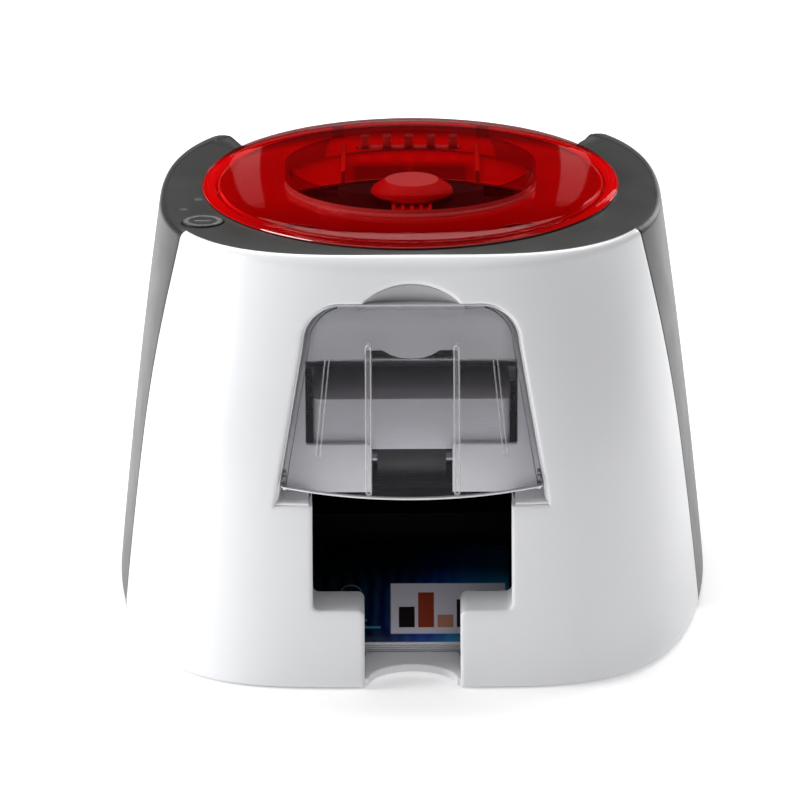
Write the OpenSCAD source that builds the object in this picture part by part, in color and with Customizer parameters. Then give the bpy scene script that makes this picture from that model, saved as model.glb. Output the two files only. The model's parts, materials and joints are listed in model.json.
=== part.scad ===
// ID card printer: a free-standing desktop printer for plastic cards.
// +X is the printer's left-to-right as seen from the front, +Y runs to the rear, +Z is up.
// The origin lies under the middle of the body, on the surface that the feet stand on.

/* [Body] */
// Overall width at the base
body_w = 267; // [255:1:275]
// Overall depth at the base
body_d = 376; // [370:1:382]
// Height of the deck edge above the table
deck_z = 187.8; // [184:0.2:190]
// Wall thickness of the casings
wall = 2.6; // [2:0.1:3]
// Depth of the step in the deck behind the lid
rear_drop = 9.6; // [8:0.2:11]
// Drop of the deck's rear edge below its sides
edge_drop = 20; // [18:0.5:26]

/* [Lid] */
// Half width of the lid
lid_rx = 93; // [90:1:94]
// Half depth of the lid
lid_ry = 105; // [102:1:106]
// Rise of the lid's crown above its rim
lid_rise = 12; // [8:1:16]
// Wall thickness of the lid
lid_wall = 2.4; // [2:0.2:3]

/* [Cards] */
// Long side of a card
card_w = 85.6; // [85.6:0.1:86]
// Short side of a card
card_d = 54; // [53.9:0.1:54]
// Thickness of a card
card_t = 0.76; // [0.7:0.02:0.8]
// Blank cards in the feeder
blank_count = 30; // [1:1:30]
// Printed cards in the hopper
printed_count = 8; // [1:1:10]
// Tilt of the hopper's floor, in degrees
hopper_tilt = 33; // [28:1:34]

/* [Front openings] */
// Width of the hopper opening
mouth_w = 87.2; // [86.8:0.1:88]
// Height of the ledge below the hopper opening
ledge_z = 35; // [33:0.5:36]
// Width of the thumb slot
slot_w = 42; // [38:1:44]
// Height of the pocket's floor
pocket_z = 80.5; // [79:0.5:82]
// Height of the pocket's upper edge
pocket_top = 167.5; // [167:0.5:170]

/* [Transport] */
// Diameter of the platen roller
platen_d = 16; // [14:0.5:16]
// Diameter of the feed and transport rollers
roller_d = 12; // [10:0.5:12]
// Diameter of the pick roller
pick_d = 16; // [14:0.5:16]
// Teeth of the take-up gear
takeup_teeth = 24; // [24:2:24]
// Teeth of the ribbon motor's pinion
pinion_teeth = 12; // [12:2:12]
// Gear module
gear_mod = 1.5; // [1.5:0.1:1.5]

/* [Hidden] */

// Lowest edge of the casings, above the table by the height of the feet
foot_h = 1;
lid_y = -45;
lid_rim_z = deck_z + 0.9;
lid_open_rx = lid_rx - 5;
lid_open_ry = lid_ry - 6;
deck_t = 2.2;
shoulder_turn = 75;
gap = 0.4;

// Section of the body at height z
side_lean = 0.094;
side_crown = 0.00013;
front_lean = 0.11;
front_crown = 0.0002;
wide_lean = 0.30;
seam_y = -80;
seam_lean = 0.197;
rear_top_y = 55;
rear_crown_z = 188;
rear_power = 2.6;
front_py = 2.2;
rear_px = 3.6;
rear_py = 2.4;

// Hinge of the lid
lid_axis_y = 62;
lid_axis_z = 182.6;
lid_pin_r = 1.5;
lid_arm_x = 33;
lid_arm_w = 6;

// Hinge of the feeder cover
cover_axis_y = -171;
cover_axis_z = 91;
cover_pin_r = 2;
cover_wall = 2;

// Card path
path_z = 98;
feed_y = -84;
platen_y = lid_y;
transport_y = -6;
pick_y = -138;
motor_z = 50;
shaft_r = 3;
fit = 0.05;
frame_x = 60;
frame_t = 1.5;
pulley_x = 64;
pulley_w = 6;
belt_t = 1.2;
belt_gap = 0.3;
platen_z = path_z - platen_d / 2;
roller_z = path_z - roller_d / 2;
pinch_z = path_z + card_t + 0.04 + roller_d / 2;
stack_z = 99;
pick_z = stack_z - 0.4 - pick_d / 2;
platen_pulley_r = 10;
roller_pulley_r = platen_z + platen_pulley_r - roller_z;
motor_pulley_r = 6;
pick_pulley_r = 7;

// Ribbon
takeup_y = -105;
supply_y = 10;
spool_z = 150;
spool_r = 17;
spool_flange_r = 18.4;
ribbon_w = 88;
spool_pin_r = 4;
gear_x = -67;
gear_w = 5;
takeup_pitch_r = gear_mod * takeup_teeth / 2;
pinion_pitch_r = gear_mod * pinion_teeth / 2;
gear_reach = (takeup_pitch_r + pinion_pitch_r + 0.15) * sin(45);
ribbon_motor_y = takeup_y - gear_reach;
ribbon_motor_z = spool_z + gear_reach;

// Colours
white = [0.93, 0.94, 0.95];
anthracite = [0.22, 0.23, 0.22];
black = [0.05, 0.05, 0.06];
smoke = [0.6, 0.6, 0.63, 0.6];
red = [0.75, 0.03, 0.05, 0.7];
steel = [0.7, 0.71, 0.73];
rubber = [0.12, 0.12, 0.13];

// ---- Section of the body -------------------------------------------------------------

function half_w(z) = body_w / 2 - side_lean * z - side_crown * z * z;
function front_y(z) = -body_d / 2 + front_lean * z + front_crown * z * z;
function wide_y(z) = -wide_lean * z;
// Squareness of the front's two corners, which grow rounder towards the top
function front_px(z) = 4.9 - 1.45 * smooth((z - 90) / 98);
function rear_y(z) = rear_top_y
    + (body_d / 2 - rear_top_y) * sqrt(max(0, 1 - pow(min(z, rear_crown_z) / rear_crown_z, rear_power)));

// Above zero outside the body's outline at height z, below zero inside it
function outline_side(r, th, z, inset) =
    let (x = abs(r * cos(th)), y = lid_y + r * sin(th), yc = wide_y(z), ahead = y < yc,
        b = ahead ? yc - front_y(z) - inset : rear_y(z) - yc - inset,
        px = ahead ? front_px(z) : rear_px, py = ahead ? front_py : rear_py)
    pow(x / (half_w(z) - inset), px) + pow(abs(y - yc) / b, py) - 1;

// Distance from the lid's centre line to the outline, by halving the interval
function outline_r(th, z, inset, lo = 30, hi = 250, n = 15) =
    let (mid = (lo + hi) / 2)
    n == 0 ? mid
    : outline_side(mid, th, z, inset) > 0 ? outline_r(th, z, inset, lo, mid, n - 1)
    : outline_r(th, z, inset, mid, hi, n - 1);

function outline_point(th, z, inset) =
    let (r = outline_r(th, z, inset)) [r * cos(th), lid_y + r * sin(th), z];

// Direction from the lid's centre line to the seam between the front cover and the casing
function seam_angle(z) =
    let (ys = seam_y - seam_lean * z, yc = wide_y(z),
        k = pow(1 - pow((yc - ys) / (yc - front_y(z)), front_py), 1 / front_px(z)))
    atan2(ys - lid_y, half_w(z) * k);

// Step down of the deck behind the two horns: 0 beside the lid, 1 behind it
function smooth(t) = let (s = min(1, max(0, t))) s * s * (3 - 2 * s);
horn_angle = 44;
horn_inner_angle = 52;
horn_blend = 6;
function behind_lid(th, turn = horn_angle) = smooth((turn - abs(th - 90)) / horn_blend);

// Height of the deck at its outer and at its inner edge
function edge_z(th) = deck_z - edge_drop * behind_lid(th);
function inner_edge_z(th) = deck_z + 0.4 - rear_drop * behind_lid(th, horn_inner_angle);

// Shoulder radius: widest in the middle of the front and at the back, tight at the corners
function shoulder_r(th) = 1.6 + 5.4 * pow(max(0, -sin(th)), 6) + 2 * pow(max(0, cos(th)), 2)
    + 2 * pow(max(0, -cos(th)), 2) + 5 * behind_lid(th);

// ---- Shells ---------------------------------------------------------------------------

// Height fractions of the rings below the shoulder, and the turns of the shoulder
ring_fractions = [0, 0.02, 0.1, 0.25, 0.4, 0.55, 0.68, 0.79, 0.87, 0.94, 1];
shoulder_turns = [25, 50, shoulder_turn];
ring_count = len(ring_fractions) + len(shoulder_turns);

// Ring i of the shell on direction th, at a depth below the outer skin
function shell_ring_z(i, th, depth) =
    let (r = shoulder_r(th), z0 = edge_z(th) - r * sin(shoulder_turn), n = len(ring_fractions))
    i < n ? foot_h + (z0 - foot_h) * ring_fractions[i]
    : z0 + (r - depth) * sin(shoulder_turns[i - n]);
function shell_ring_inset(i, th, depth) =
    let (r = shoulder_r(th), n = len(ring_fractions))
    i == 0 ? 1.2 + depth
    : i < n ? depth
    : r - (r - depth) * cos(shoulder_turns[i - n]);
function shell_point(i, th, depth) =
    outline_point(th, shell_ring_z(i, th, depth), shell_ring_inset(i, th, depth));

// A closed solid between two grids of points with the same rows and columns
module sheet(outer, inner) {
    rows = len(outer);
    cols = len(outer[0]);
    n = rows * cols;
    points = [for (g = [outer, inner]) for (row = g) for (p = row) p];
    skin = [for (i = [0:rows - 2]) for (j = [0:cols - 2])
        let (a = i * cols + j, b = a + 1, c = a + cols, d = c + 1)
        for (t = [[a, b, d], [a, d, c], [n + a, n + d, n + b], [n + a, n + c, n + d]]) t];
    ends = [for (i = [0:rows - 2])
        let (a = i * cols, c = a + cols, b = a + cols - 1, d = c + cols - 1)
        for (t = [[a, c, n + c], [a, n + c, n + a], [b, n + d, d], [b, n + b, n + d]]) t];
    edges = [for (j = [0:cols - 2])
        let (a = j, b = j + 1, c = (rows - 1) * cols + j, d = c + 1)
        for (t = [[a, n + b, b], [a, n + a, n + b], [c, d, n + d], [c, n + d, n + c]]) t];
    polyhedron(points = points, faces = concat(skin, ends, edges), convexity = 8);
}

// Direction of the seam on ring i, and the half width of the parting line as an angle
seam_side = -25;
seam_gap = 0.09;
function ring_seam(i) = seam_angle(shell_ring_z(i, seam_side, 0));

front_cols = 44;
module front_shell() {
    function th(i, j) = -90 + (1 - 2 * j / front_cols) * (90 + ring_seam(i) - seam_gap);
    function grid(depth) = [for (i = [0:ring_count - 1]) [for (j = [0:front_cols])
        shell_point(i, th(i, j), depth)]];
    sheet(grid(0), grid(wall));
}

rear_cols = 72;
module rear_shell() {
    function th(i, j) = 90 + (1 - 2 * j / rear_cols) * (90 - ring_seam(i) - seam_gap);
    function grid(depth) = [for (i = [0:ring_count - 1]) [for (j = [0:rear_cols])
        shell_point(i, th(i, j), depth)]];
    sheet(grid(0), grid(wall));
}

// ---- Outlines on the front ------------------------------------------------------------

// Rounded pocket behind the smoke cover, with the finger dish over its upper edge
pocket_low = 59.8;
pocket_high = 46.5;
pocket_shoulder_z = 157;
pocket_corner = 17;
dish_r = 32;
dish_rise = 8.3;
function pocket_side(z) =
    pocket_low + (pocket_high - pocket_low) * (z - pocket_z) / (pocket_shoulder_z - pocket_z);
module pocket_outline(grow = 0) {
    top = pocket_top + grow;
    low = pocket_low + grow;
    side = pocket_side(top - pocket_corner) + grow;
    steps = 8;
    corner = [for (i = [0:steps]) let (a = 90 * i / steps)
        [side - pocket_corner * (1 - cos(a)), top - pocket_corner * (1 - sin(a))]];
    right = concat([[low, pocket_z - grow]], corner);
    left = [for (i = [len(right) - 1:-1:0]) [-right[i][0], right[i][1]]];
    polygon(concat(right, left));
}
module dish_outline(grow = 0) {
    translate([0, pocket_top + dish_rise - dish_r])
        circle(r = dish_r + grow, $fn = 72);
}
// Extrudes an outline drawn in X and Z along Y, from y0 to y1
module across(y0, y1) {
    translate([0, y1, 0])
        rotate([90, 0, 0])
            linear_extrude(y1 - y0) children();
}
module box(x0, x1, y0, y1, z0, z1) {
    translate([x0, y0, z0]) cube([x1 - x0, y1 - y0, z1 - z0]);
}
// Everything behind a leaning plane that passes through y0 at height z0
module behind_plane(y0, z0, lean) {
    translate([0, y0, z0])
        rotate([-atan(lean), 0, 0])
            box(-200, 200, 0, 400, -200, 200);
}
module rod(x0, x1, y, z, r) {
    translate([x0, y, z]) rotate([0, 90, 0]) cylinder(r = r, h = x1 - x0, $fn = 48);
}

// ---- Casing ---------------------------------------------------------------------------

module front_cover() {
    color(white)
        difference() {
            front_shell();
            across(-220, -130) pocket_outline(gap);
            across(-220, -130) intersection() {
                dish_outline(gap);
                translate([-60, pocket_top - 4]) square([120, 40]);
            }
            box(-mouth_w / 2 - 2, mouth_w / 2 + 2, -220, -130, ledge_z - 2, pocket_z + 4);
            box(-slot_w / 2 - 2, slot_w / 2 + 2, -220, -130, -5, ledge_z + 4);
        }
}

jack_x = -34;
usb_x = -6;
socket_z = 30;
module rear_casing() {
    color(anthracite)
        difference() {
            rear_shell();
            box(jack_x - 7.4, jack_x + 7.4, 150, 220, socket_z - 6.9, socket_z + 6.9);
            box(usb_x - 6.9, usb_x + 6.9, 150, 220, socket_z - 6.4, socket_z + 6.4);
            for (i = [0:7])
                box(14 + i * 7, 17 + i * 7, 120, 220, 46, 84);
        }
}

deck_cols = 88;
button_x = -91;
button_y = -104;
button_r = 9;
led_points = [[-100, -84], [-94, -68]];
module deck_ring() {
    function th(j) = 360 * j / deck_cols - 90;
    function wrap(a) = a < -90 ? a + 360 : a > 270 ? a - 360 : a;
    function outer(a, dz) = let (t = wrap(a))
        outline_point(t, edge_z(t), shoulder_r(t) * (1 - cos(shoulder_turn)) + gap) + [0, 0, dz];
    function inner(a, dz) = let (t = wrap(a), o = outer(a, 0),
        e = atan2((o[1] - lid_y) / lid_open_ry, o[0] / lid_open_rx))
        [lid_open_rx * cos(e), lid_y + lid_open_ry * sin(e), inner_edge_z(t) + dz];
    function mix(a, b, t) = a + (b - a) * t;
    lip = 5;
    profile = [for (j = [0:deck_cols - 1]) let (a = th(j), o = outer(a, 0), i = inner(a, 0))
        [o, mix(o, i, 0.5) + [0, 0, 0.35], i, i - [0, 0, lip],
            mix(i, o, 0.16) - [0, 0, lip], mix(i, o, 0.16) - [0, 0, deck_t], o - [0, 0, deck_t]]];
    m = len(profile[0]);
    points = [for (row = profile) for (p = row) p];
    faces = [for (j = [0:deck_cols - 1]) for (k = [0:m - 1])
        let (jn = (j + 1) % deck_cols, kn = (k + 1) % m,
            a = j * m + k, b = j * m + kn, c = jn * m + k, d = jn * m + kn)
        for (t = [[a, b, d], [a, d, c]]) t];
    polyhedron(points = points, faces = faces, convexity = 8);
}
hinge_pad_z = deck_z + 0.7 - rear_drop;
module top_frame() {
    color(anthracite)
        difference() {
            union() {
                deck_ring();
                for (s = [-1, 1])
                    box(s * lid_arm_x - 8, s * lid_arm_x + 8, 52, lid_axis_y + 18,
                        hinge_pad_z - 8, hinge_pad_z);
            }
            translate([button_x, button_y, deck_z - 8]) cylinder(r = button_r + 0.3, h = 20, $fn = 48);
            for (p = led_points)
                translate([p[0], p[1], deck_z - 8]) cylinder(r = 2, h = 20, $fn = 32);
        }
}

module base_plate() {
    inset = 2 + wall;
    color(anthracite)
        difference() {
            translate([0, 0, foot_h + 1])
                linear_extrude(2.5)
                    polygon([for (j = [0:71]) let (p = outline_point(5 * j, 3, inset)) [p[0], p[1]]]);
            box(-slot_w / 2 - 3.2, slot_w / 2 + 3.2, -220, -149, -5, 20);
        }
}

foot_points = [[-92, -118], [92, -118], [-96, 120], [96, 120]];
module rubber_feet() {
    color(rubber)
        for (p = foot_points)
            translate([p[0], p[1], 0]) cylinder(r = 9, h = foot_h + 1, $fn = 48);
}

// ---- Card feeder and hopper -----------------------------------------------------------

feeder_open_w = 92;
feeder_open_z = 102.5;
feeder_open_top = 141;
feeder_open_mid = 145;
feeder_mid_half = 20;
tongue_half = 12.5;
tongue_r = 22;
bezel_t = 1.2;
feeder_back_y = -157;
notch_w = 35.4;
module feeder_bezel() {
    lean = front_lean + 0.05;
    front = front_y(pocket_z) + 2;
    color(white)
        difference() {
            intersection() {
                behind_plane(front, pocket_z, lean);
                union() {
                    difference() {
                        across(-182, feeder_back_y + 2) pocket_outline(0);
                        across(-190, feeder_back_y) pocket_outline(-bezel_t);
                    }
                    difference() {
                        across(-172, -160) intersection() {
                            dish_outline(0);
                            translate([-60, pocket_top - 2]) square([120, 40]);
                        }
                        translate([0, -176, pocket_top + 2]) rotate([90, 0, 0])
                            translate([0, 0, -12]) cylinder(r1 = 12, r2 = 26, h = 24, $fn = 72);
                    }
                }
            }
            box(-feeder_open_w / 2, feeder_open_w / 2, -160, -150, feeder_open_z, feeder_open_top);
            difference() {
                box(-feeder_mid_half, feeder_mid_half, -160, -150, feeder_open_top - 1, feeder_open_mid);
                across(-161, -149) intersection() {
                    translate([0, feeder_open_top + 0.1 + tongue_r]) circle(r = tongue_r, $fn = 96);
                    translate([-tongue_half, feeder_open_top]) square([2 * tongue_half, 6]);
                }
            }
            box(-notch_w / 2, notch_w / 2, -160, -150, pocket_z - 1, feeder_open_z + 1);
            box(-mouth_w / 2 - 2, mouth_w / 2 + 2, -190, -150, pocket_z - 3, pocket_z + 3);
            rod(-70, 70, cover_axis_y, cover_axis_z, cover_pin_r + fit);
        }
}

module output_bezel() {
    half_m = mouth_w / 2;
    half_s = slot_w / 2;
    back = feeder_back_y;
    color(white)
        intersection() {
            behind_plane(front_y(0) + 1.4, 0, 0.125);
            difference() {
                union() {
                    box(-half_m - 1.7, half_m + 1.7, -190, back, ledge_z - 1.7, pocket_z - 0.2);
                    box(-half_s - 1.7, half_s + 1.7, -190, back, foot_h, ledge_z);
                }
                box(-half_m, half_m, -200, back + 5, ledge_z, pocket_z + 5);
                across(-200, back + 5) translate([-half_s, -10]) square([slot_w, ledge_z + 12]);
            }
        }
}

thumb_r = 19.4;
tray_front = front_y(0) + 1.6;
module output_tray() {
    color(white)
        difference() {
            box(-slot_w / 2 + 0.1, slot_w / 2 - 0.1, tray_front, -150, foot_h + 0.6, foot_h + 4);
            translate([0, -168 - thumb_r, -5]) cylinder(r = thumb_r, h = 20, $fn = 96);
        }
}

hopper_front = feeder_back_y + 0.2;
hopper_back = -98;
chute_z = 52;
chute_y = -60;
chute_top = 79;
hopper_roof_z = pocket_z + 0.1;
hopper_roof_t = 1.6;
card_front_y = -151.5;
card_front_z = 5.2;
module tilted(dy, dz) {
    translate([0, card_front_y, card_front_z]) rotate([hopper_tilt, 0, 0]) translate([0, dy, dz]) children();
}
module output_hopper() {
    half = mouth_w / 2 + 0.2;
    t = 1.8;
    color(black) {
        for (s = [-1, 1])
            box(min(s * half, s * (half + t)), max(s * half, s * (half + t)),
                hopper_front, hopper_back, foot_h + 3.6, hopper_roof_z + hopper_roof_t);
        box(-half, half, hopper_front + 6, hopper_back, hopper_roof_z, hopper_roof_z + hopper_roof_t);
        box(-half, half, hopper_back - t, hopper_back, foot_h + 3.6, chute_z);
        for (s = [-1, 1])
            translate([s > 0 ? half + t : -half, 0, 0]) rotate([90, 0, -90])
                linear_extrude(t)
                    polygon([[-hopper_back, chute_z - 3], [-hopper_back, hopper_roof_z + 0.2],
                        [-chute_y, hopper_roof_z + 0.2], [-chute_y, chute_top]]);
        translate([half, 0, 0]) rotate([90, 0, -90])
            linear_extrude(2 * half)
                polygon([[-hopper_back, chute_z - t], [-hopper_back, chute_z],
                    [-chute_y, chute_top], [-chute_y, chute_top - t]]);
        intersection() {
            tilted(-1, -t) box(-half, half, 0, 66, 0, t - 0.1);
            box(-half, half, hopper_front, hopper_back - t, foot_h + 4.2, 60);
        }
        for (s = [-1, 1])
            box(s > 0 ? slot_w / 2 + 0.4 : -half, s > 0 ? half : -slot_w / 2 - 0.4,
                hopper_front, hopper_front + t, foot_h + 3.6, ledge_z - 2);
    }
}

module card() {
    r = 3.18;
    linear_extrude(card_t - 0.04)
        union() {
            translate([-card_w / 2 + r, 0]) square([card_w - 2 * r, card_d]);
            translate([-card_w / 2, r]) square([card_w, card_d - 2 * r]);
            for (x = [-1, 1], y = [r, card_d - r])
                translate([x * (card_w / 2 - r), y]) circle(r = r, $fn = 32);
        }
}
module blank_cards() {
    color(white)
        for (i = [0:blank_count - 1])
            translate([0, feeder_back_y + 4, stack_z + i * card_t]) card();
}
module printed_cards() {
    color([0.1, 0.3, 0.55])
        for (i = [0:printed_count - 1])
            tilted(i % 2 * 0.5, i * card_t) card();
}

module feeder_tray() {
    half = feeder_open_w / 2;
    t = 2;
    back = -99;
    color(anthracite)
        difference() {
            union() {
                box(-half - t, half + t, feeder_back_y + 2.2, back, stack_z - 2.4, stack_z - 0.1);
                for (s = [-1, 1])
                    box(s > 0 ? half : -half - t, s > 0 ? half + t : -half,
                        feeder_back_y + 2.2, back, stack_z - 2.4, 124);
                for (s = [-1, 1])
                    box(s > 0 ? half + t : -frame_x, s > 0 ? frame_x : -half - t,
                        -146, -126, stack_z - 2.4, stack_z - 0.1);
            }
            box(-notch_w / 2, notch_w / 2, -156, pick_y + pick_d / 2 + 3, 90, 110);
        }
}

// ---- Chassis --------------------------------------------------------------------------

frame_front = -147;
half_frame_pin = frame_x + frame_t + 1;
frame_back = 40;
frame_foot = foot_h + 3.5;
module side_frame(s) {
    x0 = s > 0 ? frame_x : -frame_x - frame_t;
    color(steel)
        difference() {
            translate([x0 + frame_t, 0, 0]) rotate([90, 0, -90]) linear_extrude(frame_t)
                polygon([[-frame_front, 70], [-frame_front, 128], [132, 180], [96, 180], [92, 130],
                    [20, 130], [14, 172], [-30, 172], [-frame_back, 150], [-frame_back, frame_foot],
                    [92, frame_foot], [92, 70]]);
            for (p = [[platen_y, platen_z], [feed_y, roller_z], [transport_y, roller_z],
                [pick_y, pick_z], [feed_y, pinch_z], [transport_y, pinch_z]])
                rod(x0 - 1, x0 + 3, p[0], p[1], shaft_r + 2);
            for (y = [takeup_y, supply_y])
                rod(x0 - 1, x0 + 3, y, spool_z, spool_pin_r + 3);
            rod(x0 - 1, x0 + 3, platen_y, motor_z, 5);
            rod(x0 - 1, x0 + 3, flap_y, flap_z, 1.8 + fit);
            rod(x0 - 1, x0 + 3, ribbon_motor_y, ribbon_motor_z, 3);
            for (p = rail_points)
                rod(x0 - 1, x0 + 3, p[0], p[1], screw_hole_r);
            box(x0 - 1, x0 + 3, -60, 20, 12, 26);
        }
}
module left_side_frame() {
    side_frame(-1);
}
module right_side_frame() {
    side_frame(1);
}
rail_points = [[-86, 10], [28, 12], [28, 120], [-116, 129]];
screw_r = 1.3;
screw_hole_r = screw_r + fit;
screw_depth = 5;
module cross_rails() {
    hole_x = frame_x + frame_t - screw_depth - 0.1;
    color(steel)
        for (p = rail_points)
            difference() {
                rod(-frame_x, frame_x, p[0], p[1], 3.5);
                rod(hole_x, frame_x + 1, p[0], p[1], screw_hole_r);
                rod(-frame_x - 1, -hole_x, p[0], p[1], screw_hole_r);
            }
}
module bush_ring(x0, y, z) {
    difference() {
        union() {
            rod(x0, x0 + frame_t, y, z, shaft_r + 2);
            rod(x0 > 0 ? x0 - 1 : x0 + frame_t, x0 > 0 ? x0 : x0 + frame_t + 1, y, z, shaft_r + 3);
        }
        rod(x0 - 3, x0 + 5, y, z, shaft_r + fit);
    }
}
module shaft_bushes() {
    color([0.8, 0.75, 0.6])
        for (p = [[platen_y, platen_z], [feed_y, roller_z], [transport_y, roller_z],
            [pick_y, pick_z], [feed_y, pinch_z], [transport_y, pinch_z]])
            for (x0 = [-frame_x - frame_t, frame_x])
                bush_ring(x0, p[0], p[1]);
}
module screw(x, y, z, s) {
    rod(s > 0 ? x - screw_depth : x, s > 0 ? x : x + screw_depth, y, z, screw_r);
    difference() {
        rod(s > 0 ? x : x - 2, s > 0 ? x + 2 : x, y, z, 2.8);
        rod(s > 0 ? x + 0.8 : x - 3, s > 0 ? x + 3 : x - 0.8, y, z, 1);
    }
}
module chassis_screws() {
    color(steel)
        for (p = rail_points)
            for (s = [-1, 1])
                screw(s * (frame_x + frame_t), p[0], p[1], s);
}

// ---- Card transport -------------------------------------------------------------------

module shaft(y, z, x0, x1) {
    color(steel) rod(x0, x1, y, z, shaft_r);
}
module sleeve(y, z, r, half) {
    color(rubber)
        difference() {
            rod(-half, half, y, z, r);
            rod(-half - 1, half + 1, y, z, shaft_r);
        }
}
module pulley(y, z, r, x0) {
    color([0.85, 0.85, 0.8])
        difference() {
            union() {
                rod(x0, x0 + pulley_w, y, z, r);
                rod(x0 - 0.8, x0, y, z, r + 1.4);
                rod(x0 + pulley_w, x0 + pulley_w + 0.8, y, z, r + 1.4);
            }
            rod(x0 - 3, x0 + pulley_w + 3, y, z, shaft_r);
        }
}
shaft_end = pulley_x + pulley_w + 2;
module platen_roller() {
    sleeve(platen_y, platen_z, platen_d / 2, 46);
}
module platen_shaft() {
    shaft(platen_y, platen_z, -frame_x - 3, shaft_end);
}
module platen_pulley() {
    pulley(platen_y, platen_z, platen_pulley_r, pulley_x);
}
module feed_roller() {
    sleeve(feed_y, roller_z, roller_d / 2, 42);
}
module feed_shaft() {
    shaft(feed_y, roller_z, -shaft_end, shaft_end);
}
module feed_pulleys() {
    pulley(feed_y, roller_z, roller_pulley_r, pulley_x);
    pulley(feed_y, roller_z, roller_pulley_r, -pulley_x - pulley_w);
}
module transport_roller() {
    sleeve(transport_y, roller_z, roller_d / 2, 42);
}
module transport_shaft() {
    shaft(transport_y, roller_z, -frame_x - 3, shaft_end);
}
module transport_pulley() {
    pulley(transport_y, roller_z, roller_pulley_r, pulley_x);
}
module pick_roller() {
    sleeve(pick_y, pick_z, pick_d / 2, 15);
}
module pick_shaft() {
    shaft(pick_y, pick_z, -shaft_end, frame_x + 3);
}
module pick_pulley() {
    pulley(pick_y, pick_z, pick_pulley_r, -pulley_x - pulley_w);
}
module pinch(y) {
    color(rubber)
        union() {
            rod(-frame_x - 3, frame_x + 3, y, pinch_z, shaft_r);
            rod(-42, 42, y, pinch_z, roller_d / 2);
        }
}
module front_pinch_roller() {
    pinch(feed_y);
}
module rear_pinch_roller() {
    pinch(transport_y);
}
module loop_belt(x0, wheels) {
    color(rubber)
        translate([x0, 0, 0]) rotate([90, 0, 90])
            linear_extrude(pulley_w - 1)
                difference() {
                    hull()
                        for (w = wheels)
                            translate([w[0], w[1]]) circle(r = w[2] + belt_gap + belt_t, $fn = 48);
                    hull()
                        for (w = wheels)
                            translate([w[0], w[1]]) circle(r = w[2] + belt_gap, $fn = 48);
                }
}
module drive_belt() {
    loop_belt(pulley_x + 0.5, [[platen_y, motor_z, motor_pulley_r],
        [feed_y, roller_z, roller_pulley_r], [transport_y, roller_z, roller_pulley_r]]);
}
module pick_belt() {
    loop_belt(-pulley_x - pulley_w + 0.5, [[pick_y, pick_z, pick_pulley_r],
        [feed_y, roller_z, roller_pulley_r]]);
}
module drive_motor() {
    color([0.3, 0.3, 0.32])
        difference() {
            union() {
                box(26, frame_x, platen_y - 17.5, platen_y + 17.5, motor_z - 17.5, motor_z + 17.5);
                rod(frame_x, frame_x + frame_t + 0.8, platen_y, motor_z, 5);
            }
            rod(frame_x - 12, frame_x + 6, platen_y, motor_z, 2.5 + fit);
        }
}
module motor_pulley() {
    color(steel) rod(frame_x - 10, shaft_end, platen_y, motor_z, 2.5);
    color([0.85, 0.85, 0.8]) rod(pulley_x, pulley_x + pulley_w, platen_y, motor_z, motor_pulley_r);
}
flap_y = -75;
flap_z = 83;
flap_len = 17.5;
module diverter_flap() {
    color(black)
        union() {
            rod(-half_frame_pin, half_frame_pin, flap_y, flap_z, 1.8);
            box(-41, 41, flap_y, flap_y + flap_len, flap_z - 0.9, flap_z + 0.9);
        }
}
gate_y = -96.5;
module thickness_gate() {
    color(steel)
        union() {
            box(-44, 44, gate_y, gate_y + 1.5, stack_z + card_t + 0.3, 122);
            box(44, 56, gate_y, gate_y + 1.5, 112, 122);
        }
}

// ---- Ribbon ---------------------------------------------------------------------------

cassette_x = 50;
module ribbon_cassette() {
    color(anthracite)
        difference() {
            union() {
                for (s = [-1, 1])
                    translate([s > 0 ? cassette_x + 2 : -cassette_x, 0, 0]) rotate([90, 0, -90])
                        linear_extrude(2)
                            polygon([[-takeup_y + 12, 140], [-takeup_y + 12, 160], [-supply_y - 12, 160],
                                [-supply_y - 18, 150], [-supply_y - 12, 140]]);
                box(-cassette_x, cassette_x, takeup_y - 12 - 9.5, takeup_y - 12 - 7.5, 146, 156);
                box(-cassette_x, cassette_x, supply_y + 20, supply_y + 22, 146, 156);
                for (s = [-1, 1])
                    box(s > 0 ? cassette_x : -cassette_x - 2, s > 0 ? cassette_x + 2 : -cassette_x,
                        takeup_y - 21.5, supply_y + 22, 146, 156);
            }
            for (y = [takeup_y, supply_y])
                rod(-cassette_x - 5, cassette_x + 5, y, spool_z, spool_pin_r + fit);
        }
}
module spool(y, x0, x1) {
    color([0.85, 0.85, 0.82]) {
        rod(x0, x1, y, spool_z, spool_pin_r);
        for (x = [-ribbon_w / 2 - 1.8, ribbon_w / 2])
            rod(x, x + 1.8, y, spool_z, spool_flange_r);
    }
    color([0.1, 0.1, 0.35]) rod(-ribbon_w / 2, ribbon_w / 2, y, spool_z, spool_r);
}
module takeup_spool() {
    spool(takeup_y, gear_x - gear_w / 2 - 1, cassette_x + 4);
}
module supply_spool() {
    spool(supply_y, -cassette_x - 4, cassette_x + 4);
}
module gear(teeth, y, z, bore, turn) {
    pitch = gear_mod * teeth / 2;
    half_tooth = 90 / teeth;
    color([0.9, 0.88, 0.8])
        translate([gear_x - gear_w / 2, y, z]) rotate([90, 0, 90])
            linear_extrude(gear_w)
                difference() {
                    polygon([for (i = [0:teeth - 1]) for (k = [[-1.15, -1.1], [-0.62, 0.8], [0.62, 0.8], [1.15, -1.1]])
                        let (a = turn + 360 * i / teeth + k[0] * half_tooth * (k[1] > 0 ? 0.75 : 1),
                            r = pitch + k[1] * gear_mod)
                        [r * cos(a), r * sin(a)]]);
                    circle(r = bore, $fn = 48);
                }
}
module takeup_gear() {
    gear(takeup_teeth, takeup_y, spool_z, spool_pin_r, 135);
}
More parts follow.
